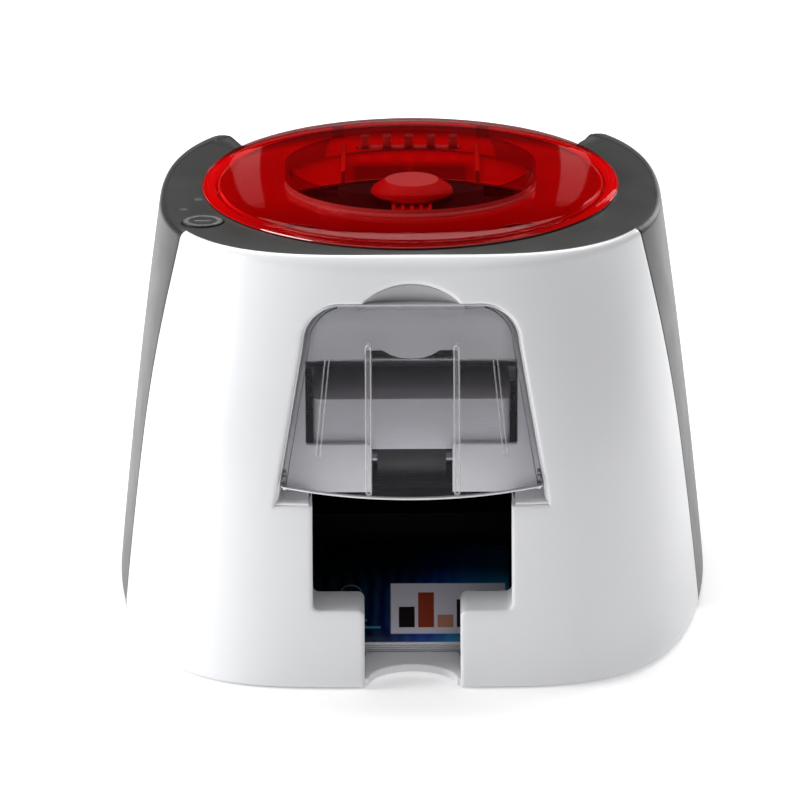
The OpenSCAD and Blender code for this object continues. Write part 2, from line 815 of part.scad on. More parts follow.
module ribbon_pinion() {
    gear(pinion_teeth, ribbon_motor_y, ribbon_motor_z, 2, -45 + 180 / pinion_teeth);
    color(steel) rod(gear_x - gear_w / 2, -frame_x + 6, ribbon_motor_y, ribbon_motor_z, 2);
}
module ribbon_motor() {
    color([0.3, 0.3, 0.32])
        difference() {
            rod(-frame_x, -46.5, ribbon_motor_y, ribbon_motor_z, 11);
            rod(-frame_x - 1, -frame_x + 8, ribbon_motor_y, ribbon_motor_z, 2 + fit);
        }
}
film_t = 0.3;
module ribbon_film() {
    low = path_z + card_t + 0.35;
    pts = [[takeup_y + 11.5, spool_z - spool_r + 2.5], [platen_y - 9, low + 1], [platen_y + 9, low + 1],
        [supply_y - 11.5, spool_z - spool_r + 2.5]];
    color([0.1, 0.1, 0.35])
        translate([ribbon_w / 2 - 1, 0, 0]) rotate([90, 0, -90])
            linear_extrude(ribbon_w - 2)
                polygon(concat([for (p = pts) [-p[0], p[1]]],
                    [for (i = [3:-1:0]) [-pts[i][0], pts[i][1] - film_t]]));
}

// ---- Lid and print head ---------------------------------------------------------------

// A solid turned about the lid's centre line and stretched to its ellipse.
// Each ring is a fraction of the lid's radius and a height, from the crown to the underside.
lid_cols = 64;
module lid_turning(rings) {
    n = len(rings);
    last = n * lid_cols + 1;
    points = concat([[0, lid_y, rings[0][1]]],
        [for (g = rings) for (j = [0:lid_cols - 1]) let (a = 360 * j / lid_cols)
            [lid_rx * g[0] * cos(a), lid_y + lid_ry * g[0] * sin(a), g[1]]],
        [[0, lid_y, rings[n - 1][1]]]);
    faces = [for (j = [0:lid_cols - 1])
        let (k = (j + 1) % lid_cols, low = (n - 1) * lid_cols + 1)
        each concat([[0, k + 1, j + 1]], [[last, low + j, low + k]],
            [for (i = [0:n - 2])
                let (a = i * lid_cols + j + 1, b = i * lid_cols + k + 1, c = a + lid_cols, d = b + lid_cols)
                each [[a, b, d], [a, d, c]]])];
    polyhedron(points = points, faces = faces, convexity = 6);
}
function lid_crown(f) = lid_rim_z + 1.6 + lid_rise * (1 - pow(f, 2.2));
lid_top_steps = [0.12, 0.26, 0.4, 0.54, 0.67, 0.79, 0.89, 0.96, 1];
lid_under_steps = [0.8, 0.68, 0.54, 0.4, 0.26, 0.12];
lid_skirt_out = 0.935;
lid_skirt_in = 0.912;
lid_skirt_z = lid_rim_z - 5;
// Skirt that closes the gap over the lowered deck behind the lid
module rear_skirt() {
    half_angle = 53.5;
    steps = 20;
    function low(a) = let (th = atan2(lid_ry * sin(a), lid_rx * cos(a)), z = inner_edge_z(th))
        z + 1.1 + 0.14 * max(0, edge_z(th) - z);
    function ring(f, high) = [for (i = [0:steps]) let (a = 90 + half_angle * (1 - 2 * i / steps))
        [lid_rx * f * cos(a), lid_y + lid_ry * f * sin(a), high ? lid_rim_z + 0.5 : low(a)]];
    sheet([ring(0.975, false), ring(0.975, true)], [ring(0.955, false), ring(0.955, true)]);
}
drum_r = 54;
drum_t = 2;
// Floor between the drum and the skirt, open in front of the well's edge over the works
lid_floor_z = lid_rim_z - 0.7;
lid_floor_t = 1.2;
lid_floor_f = 0.922;
well_y = -38;
well_back_r = 72.5;
rib_y = -44;
comb_x = -0.6;
comb_half = 23;
comb_front = 12;
comb_back = 17;
module lid_floor() {
    top = lid_floor_z + lid_floor_t;
    difference() {
        translate([0, lid_y, lid_floor_z])
            linear_extrude(lid_floor_t)
                polygon([for (j = [0:lid_cols - 1]) let (a = 360 * j / lid_cols)
                    [lid_rx * lid_floor_f * cos(a), lid_ry * lid_floor_f * sin(a)]]);
        intersection() {
            translate([0, lid_y, lid_floor_z - 1]) cylinder(r = drum_r + 0.6, h = lid_floor_t + 2, $fn = 96);
            translate([0, well_y - well_back_r, lid_floor_z - 2])
                cylinder(r = well_back_r, h = lid_floor_t + 4, $fn = 96);
        }
        box(comb_x - comb_half - 0.6, comb_x + comb_half + 0.6, comb_front - 0.4, comb_back + 0.6,
            lid_floor_z - 1, top + 1);
        for (s = [-1, 1])
            translate([s * 48, -115, 0]) rotate([0, 0, s * 22])
                box(-7, 7, -2.6, 2.6, lid_floor_z - 1, top + 1);
    }
    // Bead along the front of the drum's foot
    intersection() {
        translate([0, lid_y, top - 0.2]) rotate_extrude($fn = 96)
            translate([drum_r + 1, 0]) square([drum_t + 0.7, 1.2]);
        box(-80, 80, lid_y - 80, lid_y, top - 1, top + 2);
    }
    // Ribs beside the head's knob
    for (s = [-1, 1])
        box(s * 30 - 1, s * 30 + 1, rib_y, 0.5, top - 0.4, top + 5.3);
}
module lid() {
    color(red)
        union() {
            lid_turning(concat([for (f = lid_top_steps) [f, lid_crown(f)]],
                [[1, lid_rim_z], [lid_skirt_out, lid_rim_z - 0.1], [lid_skirt_out, lid_skirt_z],
                    [lid_skirt_in, lid_skirt_z], [lid_skirt_in, lid_rim_z + 1]],
                [for (f = lid_under_steps) [f, lid_crown(f) - lid_wall]]));
            rear_skirt();
            lid_floor();
            translate([0, lid_y, 0]) rotate_extrude($fn = 96)
                translate([drum_r, lid_rim_z - 2.3]) square([drum_t, lid_rise - 0.5]);
            for (s = [-1, 1]) {
                x0 = s * lid_arm_x - lid_arm_w / 2;
                difference() {
                    union() {
                        box(x0, x0 + lid_arm_w, 30, 50, lid_rim_z - 2.6, lid_rim_z + 1);
                        box(x0, x0 + lid_arm_w, 48, 58, lid_rim_z - 2.6, lid_rim_z - 1);
                        box(x0, x0 + lid_arm_w, 54, lid_axis_y, lid_axis_z - 2.4, lid_rim_z - 2);
                        rod(x0, x0 + lid_arm_w, lid_axis_y, lid_axis_z, 3.5);
                    }
                    rod(x0 - 1, x0 + lid_arm_w + 1, lid_axis_y, lid_axis_z, lid_pin_r + fit);
                }
            }
        }
}
module lid_hinge_brackets() {
    color(anthracite)
        for (s = [-1, 1])
            difference() {
                union() {
                    for (e = [-1, 1]) {
                        x0 = s * lid_arm_x + e * (lid_arm_w / 2 + 0.4) - (e < 0 ? 3 : 0);
                        box(x0, x0 + 3, lid_axis_y - 3.5, lid_axis_y + 9, hinge_pad_z, lid_axis_z);
                        rod(x0, x0 + 3, lid_axis_y, lid_axis_z, 3.5);
                    }
                    box(s * lid_arm_x - 6.4, s * lid_arm_x + 6.4, lid_axis_y + 5, lid_axis_y + 16,
                        hinge_pad_z, hinge_pad_z + 1.5);
                }
                rod(s * lid_arm_x - 10, s * lid_arm_x + 10, lid_axis_y, lid_axis_z, lid_pin_r);
            }
}
module lid_hinge_pins() {
    color(steel)
        for (s = [-1, 1])
            rod(s * lid_arm_x - 7, s * lid_arm_x + 7, lid_axis_y, lid_axis_z, lid_pin_r);
}
module lid_frame() {
    z0 = lid_rim_z - 3.2;
    frame_h = 2.4;
    color(black)
        difference() {
            union() {
                translate([0, lid_y, z0]) cylinder(r = 53, h = frame_h, $fn = 96);
                box(-40, 40, 0, 30, z0, z0 + frame_h);
            }
            for (s = [-1, 1])
                box(s > 0 ? 32.5 : -46, s > 0 ? 46 : -32.5, lid_y - 18, lid_y + 18, z0 - 5, z0 + 5);
            translate([0, lid_y, 0]) rotate_extrude($fn = 96)
                translate([drum_r - 0.1, z0 + 0.7]) square([drum_t + 0.2, frame_h]);
        }
}
carrier_top = lid_rim_z - 3.4;
module head_carrier() {
    color(black)
        union() {
            for (s = [-1, 1])
                box(s > 0 ? 28 : -30, s > 0 ? 30 : -28, lid_y - 14, lid_y + 14, 118, carrier_top);
            box(-30, 30, lid_y - 14, lid_y + 14, carrier_top - 3, carrier_top);
            box(-30, 30, lid_y - 14, lid_y - 12, 150, carrier_top);
        }
}
module print_head() {
    color([0.85, 0.84, 0.8])
        union() {
            box(-46, 46, platen_y - 6, platen_y + 6, 104, 110);
            box(-44, 44, platen_y - 2, platen_y + 2, path_z + card_t + 1.9, 104);
        }
}
module heat_sink() {
    color(steel)
        union() {
            box(-44, 44, platen_y - 10, platen_y + 10, 110, 114);
            for (i = [0:10])
                box(-27 + i * 5.1, -25.2 + i * 5.1, platen_y - 10, platen_y + 10, 114, 146);
            for (s = [-1, 1])
                box(s > 0 ? 28 : -30, s > 0 ? 30 : -28, platen_y - 10, platen_y + 10, 114, 118);
        }
}
// Latch knob on a ribbed tongue, one moulding
knob_x = 0.6;
knob_y = -67;
tongue_y = -97;
tongue_t = 0.6;
tongue_rib_h = 2;
knob_profile = [[0, 0], [10.5, 0], [16.5, 2], [18.3, 3.6], [17.3, 5.4], [13, 8.2], [11.6, 9.1], [0, 9.1]];
module head_knob() {
    z0 = lid_rim_z - 0.8;
    color([0.3, 0.05, 0.05])
        union() {
            translate([knob_x, knob_y, z0]) rotate_extrude($fn = 64) polygon(knob_profile);
            box(knob_x - 9, knob_x + 9, tongue_y, knob_y, z0, z0 + tongue_t);
            for (i = [-2:2])
                box(knob_x + i * 4 - 0.8, knob_x + i * 4 + 0.8, tongue_y, knob_y, z0, z0 + tongue_rib_h);
        }
}
comb_pitch = 10;
module guide_comb() {
    color([0.5, 0.1, 0.1])
        union() {
            box(comb_x - comb_half, comb_x + comb_half, comb_front, comb_back,
                lid_rim_z - 0.8, lid_rim_z + 1);
            for (i = [-2:2]) {
                x = comb_x + i * comb_pitch;
                box(x - 2, x + 2, comb_front, comb_back, lid_rim_z + 1, lid_rim_z + 6.3);
            }
        }
}

// ---- Feeder cover ---------------------------------------------------------------------

cover_top = pocket_top - 1.6;
cover_low = 88.5;
cover_sag = 3.5;
cover_bulge = 5;
cover_side_gap = 1.7;
cover_flange = 7;
cover_flange_y = feeder_back_y - 1;
function cover_half(z) =
    let (c = cover_top - pocket_corner, s = pocket_side(min(z, c)) - cover_side_gap)
    z <= c ? s : s - pocket_corner * (1 - sqrt(max(0, 1 - pow((z - c) / pocket_corner, 2))));
module cover_skin() {
    rows = [0, 0.12, 0.3, 0.5, 0.66, 0.78, 0.84, 0.9, 0.94, 0.97, 0.99];
    cols = [for (i = [0:16]) i / 8 - 1];
    function point(u, v, depth) =
        let (zb = cover_low - cover_sag * (1 - u * u), z = zb + v * (cover_top - zb),
            x = (cover_half(z) - depth * abs(u)) * u,
            y = front_y(z) + 0.6 - cover_bulge * (1 - u * u) * (1 - smooth(v * 1.6)))
        [x, y + 1.4 * u * u + depth, z];
    // The flange is cut back towards its lower corners, which swing inwards as the cover opens
    function flange(u, v, depth) = let (p = point(u, v, depth), run = cover_flange * min(1, 0.3 + 6 * v))
        [p[0], min(p[1] + run - depth, cover_flange_y), p[2]];
    function row(v, depth) = concat(
        [flange(1, v, depth)],
        [for (i = [len(cols) - 1:-1:0]) point(cols[i], v, depth)],
        [flange(-1, v, depth)]);
    sheet([for (v = rows) row(v, 0)], [for (v = rows) row(v, cover_wall)]);
}
module feeder_cover() {
    pin_x = pocket_side(cover_axis_z) - cover_side_gap;
    color(smoke)
        union() {
            cover_skin();
            for (s = [-1, 1]) {
                rod(s > 0 ? pin_x - cover_wall : -pin_x - 1.6, s > 0 ? pin_x + 1.6 : -pin_x + cover_wall,
                    cover_axis_y, cover_axis_z, cover_pin_r);
                rod(s > 0 ? pin_x - cover_wall : -pin_x + 0.3, s > 0 ? pin_x - 0.3 : -pin_x + cover_wall,
                    cover_axis_y, cover_axis_z, 4.5);
            }
        }
}

// ---- Controls and electronics ---------------------------------------------------------

button_lift = 0.9;
module power_button() {
    color(anthracite)
        translate([button_x, button_y, 0]) union() {
            translate([0, 0, deck_z - 6]) cylinder(r = button_r, h = 6 + button_lift, $fn = 48);
            translate([0, 0, deck_z - 8]) cylinder(r = button_r + 1.4, h = 2.2, $fn = 48);
        }
}
module button_board() {
    color([0.1, 0.35, 0.2])
        union() {
            translate([-94.5, -86, deck_z - 14]) rotate([0, 0, 10]) box(-9, 9, -23, 23, 0, 1.6);
            box(button_x - 3, button_x + 3, button_y - 3, button_y + 3, deck_z - 12.4, deck_z - 9.2);
            for (p = led_points)
                translate([p[0], p[1], deck_z - 12.4]) cylinder(r = 1.9, h = 1.2, $fn = 32);
        }
}
module light_guides() {
    color([0.9, 0.95, 0.9])
        for (p = led_points)
            translate([p[0], p[1], deck_z - 11]) cylinder(r = 1.9, h = 11.4, $fn = 32);
}
module main_board() {
    color([0.1, 0.35, 0.2])
        union() {
            box(-68, 25, 70, 174, 9, 10.6);
            for (p = [[-55, 84], [-20, 84], [4, 110]])
                translate([p[0], p[1], 10.6]) cylinder(r = 5, h = 14, $fn = 32);
            box(-60, -38, 110, 132, 10.6, 13);
            box(-20, 10, 140, 150, 10.6, 19);
            for (x = [-63, 20], y = [75, 169])
                translate([x, y, foot_h + 3.5]) cylinder(r = 3, h = 9 - foot_h - 3.5, $fn = 32);
        }
}
socket_back = rear_y(socket_z) - 6.5;
module power_inlet() {
    color(black)
        difference() {
            box(jack_x - 7, jack_x + 7, socket_back - 16, socket_back + 1, socket_z - 6.5, socket_z + 6.5);
            translate([jack_x, socket_back + 2, socket_z]) rotate([90, 0, 0])
                difference() {
                    cylinder(r = 3.2, h = 11, $fn = 48);
                    cylinder(r = 1, h = 11, $fn = 32);
                }
        }
    color(black) box(jack_x - 6, jack_x + 6, socket_back - 16, socket_back - 9, 10.6, socket_z - 6.5);
}
module usb_port() {
    color(steel)
        union() {
            difference() {
                box(usb_x - 6.5, usb_x + 6.5, socket_back - 16, socket_back + 1, socket_z - 6, socket_z + 6);
                box(usb_x - 4.3, usb_x + 4.3, socket_back - 8, socket_back + 3, socket_z - 4.2, socket_z + 4.2);
            }
            box(usb_x - 2.8, usb_x + 2.8, socket_back - 9, socket_back - 1, socket_z - 1.2, socket_z + 1.8);
            box(usb_x - 5, usb_x + 5, socket_back - 16, socket_back - 9, 10.6, socket_z - 6);
        }
}

base_plate();
rubber_feet();
front_cover();
rear_casing();
top_frame();
feeder_bezel();
output_bezel();
output_tray();
output_hopper();
feeder_tray();
left_side_frame();
right_side_frame();
cross_rails();
shaft_bushes();
blank_cards();
printed_cards();
drive_motor();
motor_pulley();
drive_belt();
pick_belt();
platen_roller();
platen_shaft();
platen_pulley();
feed_roller();
feed_shaft();
feed_pulleys();
transport_roller();
transport_shaft();
transport_pulley();
pick_roller();
pick_shaft();
pick_pulley();
front_pinch_roller();
rear_pinch_roller();
diverter_flap();
thickness_gate();
ribbon_cassette();
takeup_spool();
takeup_gear();
supply_spool();
ribbon_film();
ribbon_motor();
ribbon_pinion();
lid();
lid_frame();
head_carrier();
print_head();
heat_sink();
head_knob();
guide_comb();
lid_hinge_brackets();
lid_hinge_pins();
feeder_cover();
power_button();
button_board();
light_guides();
main_board();
power_inlet();
usb_port();
chassis_screws();
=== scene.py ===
"""ID card printer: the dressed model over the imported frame.

Shapes are drawn in millimetres in the printer's own axes (+X right, +Y rear, +Z up,
origin on the table under the middle of the body) and turned into metres in one place.
"""

import json
from math import acos, asin, ceil, cos, dist, pi, radians, sin, tan

import bmesh
import bpy
import numpy as np
from mathutils import Matrix, Vector
from mathutils.geometry import delaunay_2d_cdt

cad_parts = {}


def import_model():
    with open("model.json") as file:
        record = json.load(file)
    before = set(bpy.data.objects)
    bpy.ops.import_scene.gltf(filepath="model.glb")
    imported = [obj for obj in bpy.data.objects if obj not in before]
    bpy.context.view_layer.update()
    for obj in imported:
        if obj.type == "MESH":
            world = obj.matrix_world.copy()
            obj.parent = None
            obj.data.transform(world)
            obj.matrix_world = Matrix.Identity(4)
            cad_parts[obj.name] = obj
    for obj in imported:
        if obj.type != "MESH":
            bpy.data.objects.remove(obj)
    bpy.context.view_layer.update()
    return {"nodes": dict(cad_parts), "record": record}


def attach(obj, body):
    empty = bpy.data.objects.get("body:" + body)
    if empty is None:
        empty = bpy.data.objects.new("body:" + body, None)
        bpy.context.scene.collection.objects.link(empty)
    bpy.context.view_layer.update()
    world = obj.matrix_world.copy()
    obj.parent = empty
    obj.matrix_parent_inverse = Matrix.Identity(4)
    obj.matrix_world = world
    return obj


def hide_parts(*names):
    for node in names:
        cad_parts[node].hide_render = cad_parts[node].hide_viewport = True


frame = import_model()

nodes = frame["nodes"]
MM = 0.001

# ---- Sizes shared with the part's source ----

BODY_W = 267.0
BODY_D = 376.0
FRONT_LEAN = 0.11
FRONT_CROWN = 0.0002
REAR_TOP_Y = 55.0
REAR_TOP_Z = 188.0
HORN_FROM, HORN_TO = 35.5, 48.1
HINGE_X = 33.0
DECK_Z = 187.8
WALL = 2.6
REAR_DROP = 9.6
EDGE_DROP = 20.0
FOOT_H = 1.0
LID_Y = -45.0
LID_RX = 93.0
LID_RY = 105.0
LID_RISE = 12.0
LID_WALL = 2.4
LID_RIM_Z = DECK_Z + 0.9
OPEN_RX = LID_RX - 5.0
OPEN_RY = LID_RY - 6.0
SHOULDER = radians(75.0)
MOUTH_W = 87.2
SLOT_W = 42.0
LEDGE_Z = 35.0
POCKET_Z = 80.5
POCKET_TOP = 167.5
POCKET_LOW = 59.8
POCKET_HIGH = 46.5
POCKET_SHOULDER_Z = 157.0
POCKET_CORNER = 17.0
DISH_R = 32.0
DISH_RISE = 8.3
BACK_Y = -157.0
COVER_TOP = POCKET_TOP - 1.6
COVER_GAP = 1.7
BEZEL_T = 1.2
COVER_LOW = 88.5
COVER_SAG = 3.5
COVER_BULGE = 5.0
COVER_AXIS = (-171.0, 91.0)
COVER_RIB_X, COVER_SHIFT = 19.1, 0.5
CARD_W = 85.6
CARD_D = 54.0
CARD_T = 0.76
CARD_R = 3.18
BLANK_COUNT, PRINTED_COUNT = 30, 8
BLANK_Z = 99.0
TILT = radians(33.0)
CARD_FRONT = (-151.5, 5.2)
LID_AXIS = (62.0, 182.6)
PAD_Z = DECK_Z + 0.7 - REAR_DROP


def half_w(z):
    return BODY_W / 2 - 0.094 * z - 0.00013 * z * z


def front_y(z):
    return -BODY_D / 2 + FRONT_LEAN * z + FRONT_CROWN * z * z


def wide_y(z):
    return -0.30 * z


def rear_y(z):
    t = np.minimum(z, REAR_TOP_Z) / REAR_TOP_Z
    return REAR_TOP_Y + (BODY_D / 2 - REAR_TOP_Y) * np.sqrt(np.maximum(0.0, 1.0 - t**2.6))


def front_px(z):
    """Squareness of the front's two corners, which grow rounder towards the top."""
    t = np.clip((z - 90) / 98, 0.0, 1.0)
    return 4.9 - 1.45 * t * t * (3 - 2 * t)


def outline(th, z, inset):
    """Points on the body's outline in directions th, in degrees round the lid's centre line."""
    th, z, inset = np.broadcast_arrays(np.asarray(th, float), np.asarray(z, float), inset)
    c, s = np.cos(np.radians(th)), np.sin(np.radians(th))
    near, far = np.full(th.shape, 30.0), np.full(th.shape, 250.0)
    yc = wide_y(z)
    for _ in range(36):
        r = (near + far) / 2
        y = LID_Y + r * s
        ahead = y < yc
        b = np.where(ahead, yc - front_y(z), rear_y(z) - yc) - inset
        side = (np.abs(r * c) / (half_w(z) - inset)) ** np.where(ahead, front_px(z), 3.6)
        beyond = side + (np.abs(y - yc) / b) ** np.where(ahead, 2.2, 2.4) > 1
        far = np.where(beyond, r, far)
        near = np.where(beyond, near, r)
    return np.stack([r * c, LID_Y + r * s, z], -1)


def skin_y(x, z, rear=False):
    """The y of the body's front or rear skin at x and z."""
    px, py = (3.6, 2.4) if rear else (front_px(z), 2.2)
    reach = rear_y(z) - wide_y(z) if rear else front_y(z) - wide_y(z)
    return wide_y(z) + reach * (1 - (np.abs(x) / half_w(z)) ** px) ** (1 / py)


def seam_angle(z):
    ys, yc = -80.0 - 0.197 * z, wide_y(z)
    k = (1 - ((yc - ys) / (yc - front_y(z))) ** 2.2) ** (1 / front_px(z))
    return np.degrees(np.arctan2(ys - LID_Y, half_w(z) * k))


def smooth(t):
    s = np.clip(t, 0.0, 1.0)
    return s * s * (3 - 2 * s)


def behind_lid(th, turn=44.0):
    return smooth((turn - np.abs(th - 90.0)) / 6.0)


def edge_z(th):
    return DECK_Z - EDGE_DROP * behind_lid(th)


def inner_edge_z(th):
    return DECK_Z + 0.4 - REAR_DROP * behind_lid(th, 52.0)


def shoulder_r(th):
    s, c = np.sin(np.radians(th)), np.cos(np.radians(th))
    return 1.6 + 5.4 * np.maximum(0, -s) ** 6 + 2 * c * c + 5 * behind_lid(th)


def deck_edge(th, inside):
    """The deck's outer edge, a little inside the top of the body's shoulder."""
    return outline(th, edge_z(th), shoulder_r(th) * (1 - cos(SHOULDER)) + inside)


def wrapped(th):
    """The same directions from -90 to 270 degrees."""
    return np.where(th > 270, th - 360, th)


def xyz(x, y, z):
    """Points from their coordinates, any of which may be a single number."""
    return np.stack(np.broadcast_arrays(x, y, z), -1)


# ---- Mesh tools ----


def put(name, data):
    """A new object in the scene."""
    obj = bpy.data.objects.new(name, data)
    bpy.context.scene.collection.objects.link(obj)
    return obj


def make_object(name, verts, faces, sharp=38.0, weld=0.0):
    """A mesh object from millimetre points, its faces turned outwards and shaded smooth."""
    mesh = bpy.data.meshes.new(name)
    mesh.from_pydata([tuple(v) for v in np.asarray(verts, float) * MM], [], [tuple(f) for f in faces])
    bm = bmesh.new()
    bm.from_mesh(mesh)
    if weld:
        bmesh.ops.remove_doubles(bm, verts=bm.verts, dist=weld)
        bmesh.ops.dissolve_degenerate(bm, edges=bm.edges, dist=weld)
    bmesh.ops.recalc_face_normals(bm, faces=bm.faces)
    bm.to_mesh(mesh)
    bm.free()
    mesh.shade_smooth()
    mesh.set_sharp_from_angle(angle=radians(sharp))
    return put(name, mesh)


def dress(obj, body, slot, *replaced, finish=None):
    """Gives a piece its material, chosen by its slot or finish, puts it under its body and hides the nodes
    that it stands for.
    """
    obj.data.materials.clear()
    obj.data.materials.append(finishes[finish or slot])
    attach(obj, body)
    if replaced:
        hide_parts(*replaced)


class Parts:
    """Closed meshes gathered into one piece."""

    def __init__(self):
        self.verts = []
        self.faces = []

    def add(self, verts, faces):
        base = len(self.verts)
        self.verts += [tuple(v) for v in verts]
        self.faces += [tuple(int(i) + base for i in f) for f in faces]
        return self

    def box(self, low, high, round_r, turn=None):
        """A block with rounded edges; turn is a function of its points."""
        bm = bmesh.new()
        bmesh.ops.create_cube(bm, size=1.0)
        low, high = np.array(low, float), np.array(high, float)
        for v in bm.verts:
            v.co = Vector((low + high) / 2 + np.array(v.co) * (high - low))
        r = min(round_r, 0.45 * float((high - low).min()))
        bmesh.ops.bevel(bm, geom=bm.edges[:], offset=r, segments=2, profile=0.5, affect="EDGES")
        verts = np.array([v.co[:] for v in bm.verts])
        faces = [[v.index for v in f.verts] for f in bm.faces]
        bm.free()
        return self.add(turn(verts) if turn else verts, faces)

    def loft(self, rows, closed=False):
        """A band through matching rows of points, closed round the rows and capped where it ends."""
        n, m = len(rows), len(rows[0])
        faces = [(i * m + j, i * m + (j + 1) % m, (i + 1) % n * m + (j + 1) % m, (i + 1) % n * m + j)
                 for i in range(n) for j in range(m if closed else m - 1)]
        if not closed:
            faces += [tuple(i * m for i in range(n)), tuple(i * m + m - 1 for i in reversed(range(n)))]
        return self.add(np.concatenate(rows), faces)

    def lathe(self, profile, place, steps=48):
        """A closed profile of (radius, along) turned round an axis; place maps (r, angle, along)."""
        r, along = np.repeat(np.array(profile, float), steps, 0).T
        a = np.tile(2 * pi * np.arange(steps) / steps, len(profile))
        return self.loft(place(r, a, along).reshape(len(profile), steps, 3), closed=True)

    def slab(self, outer, inner):
        """A closed sheet between two matching grids of points."""
        rows, cols = outer.shape[:2]
        n = rows * cols
        faces = []
        for i in range(rows - 1):
            for j in range(cols - 1):
                a, c = i * cols + j, (i + 1) * cols + j
                faces += [(a, a + 1, c + 1, c), (n + a, n + c, n + c + 1, n + a + 1)]
        for i in range(rows - 1):
            a, b = i * cols, (i + 1) * cols - 1
            faces += [(a, a + cols, n + a + cols, n + a), (b, n + b, n + b + cols, b + cols)]
        for j in range(cols - 1):
            a, b = j, (rows - 1) * cols + j
            faces += [(a, n + a, n + a + 1, a + 1), (b, b + 1, n + b + 1, n + b)]
        return self.add(np.concatenate([outer.reshape(-1, 3), inner.reshape(-1, 3)]), faces)

    def object(self, name, sharp=38.0):
        return make_object(name, self.verts, self.faces, sharp, 1e-7)


def upright(cx, cy, sx=1.0, sy=1.0):
    """Placer for a lathe about a vertical axis."""
    return lambda r, a, t: xyz(cx + sx * r * np.cos(a), cy + sy * r * np.sin(a), t)


def lying(cy, cz):
    """Placer for a lathe about an axis along X."""
    return lambda r, a, t: xyz(t, cy + r * np.cos(a), cz + r * np.sin(a))


def level(z):
    """Placer for a flat plate whose top is at z."""
    return lambda flat, depth: np.column_stack([flat, z - depth])


def tube(r, x0, x1, e=0.4, bore=0.001):
    """Profile of a round bar or sleeve from x0 to x1 with softened ends."""
    return [(bore, x0), (r - e, x0), (r - 0.3 * e, x0 + 0.3 * e), (r, x0 + e), (r, x1 - e),
            (r - 0.3 * e, x1 - 0.3 * e), (r - e, x1), (bore, x1)]


def unit(v):
    return v / np.maximum(np.linalg.norm(v, axis=-1, keepdims=True), 1e-12)


def leftward(line):
    """Steps of length one to the left of a closed line, longer at its corners."""
    t1, t2 = unit(line - np.roll(line, 1, 0)), unit(np.roll(line, -1, 0) - line)
    n1, n2 = np.stack([-t1[:, 1], t1[:, 0]], 1), np.stack([-t2[:, 1], t2[:, 0]], 1)
    return (n1 + n2) / (1 + (n1 * n2).sum(1, keepdims=True))


def within(points, line):
    """Which points lie in a closed line."""
    x, y = points[:, :1], points[:, 1:2]
    a, b = line, np.roll(line, -1, 0)
    rise = b[:, 1] - a[:, 1]
    rise = np.where(rise == 0, 1e-12, rise)
    cross = (b[:, 0] - a[:, 0]) * (y - a[:, 1]) / rise + a[:, 0]
    return (((a[:, 1] > y) != (b[:, 1] > y)) & (x < cross)).sum(1) % 2 == 1


def between(points, lines):
    """Which points lie in the first line and outside the others."""
    return within(points, lines[0]) & ~np.any([within(points, line) for line in lines[1:]], 0)


def clearance(points, line):
    a, d = line, np.roll(line, -1, 0) - line
    best = np.full(len(points), 1e9)
    for i in range(len(a)):
        t = np.clip(((points - a[i]) @ d[i]) / max(d[i] @ d[i], 1e-12), 0, 1)
        best = np.minimum(best, np.linalg.norm(points - a[i] - t[:, None] * d[i], axis=1))
    return best


def ccw(line, want=True):
    area = (line[:, 0] * np.roll(line[:, 1], -1) - line[:, 1] * np.roll(line[:, 0], -1)).sum()
    return line if (area > 0) == want else line[::-1]


def spaced(points, step):
    """The closed line through points, with a point at least every step."""
    points = np.asarray(points, float)
    out = []
    for a, b in zip(points, np.roll(points, -1, 0)):
        n = max(1, int(ceil(np.linalg.norm(b - a) / step)))
        out += [a + (b - a) * i / n for i in range(n)]
    return np.array(out)


def round_corner(corner, before, after, r, steps=6):
    """Points of an arc of radius r in place of a corner."""
    corner, u, v = np.array(corner, float), np.array(before, float), np.array(after, float)
    u, v = unit(u - corner), unit(v - corner)
    half = acos(np.clip(u @ v, -1, 1)) / 2
    centre = corner + unit(u + v) * r / sin(half)
    a, b = corner + u * r / tan(half) - centre, corner + v * r / tan(half) - centre
    total = acos(np.clip(unit(a) @ unit(b), -1, 1))
    return [tuple(centre + (a * sin((1 - k / steps) * total) + b * sin(k / steps * total)) / sin(total))
            for k in range(steps + 1)]


def rim(line, radius, deep, far=np.nan, far_out=np.nan):
    """One closed border of a skin: how far it is rounded, how deep its wall goes and where it ends."""
    n = len(line)
    return {"line": line, "radius": np.broadcast_to(radius, n), "deep": np.broadcast_to(deep, n),
            "far": far, "far_out": far_out}


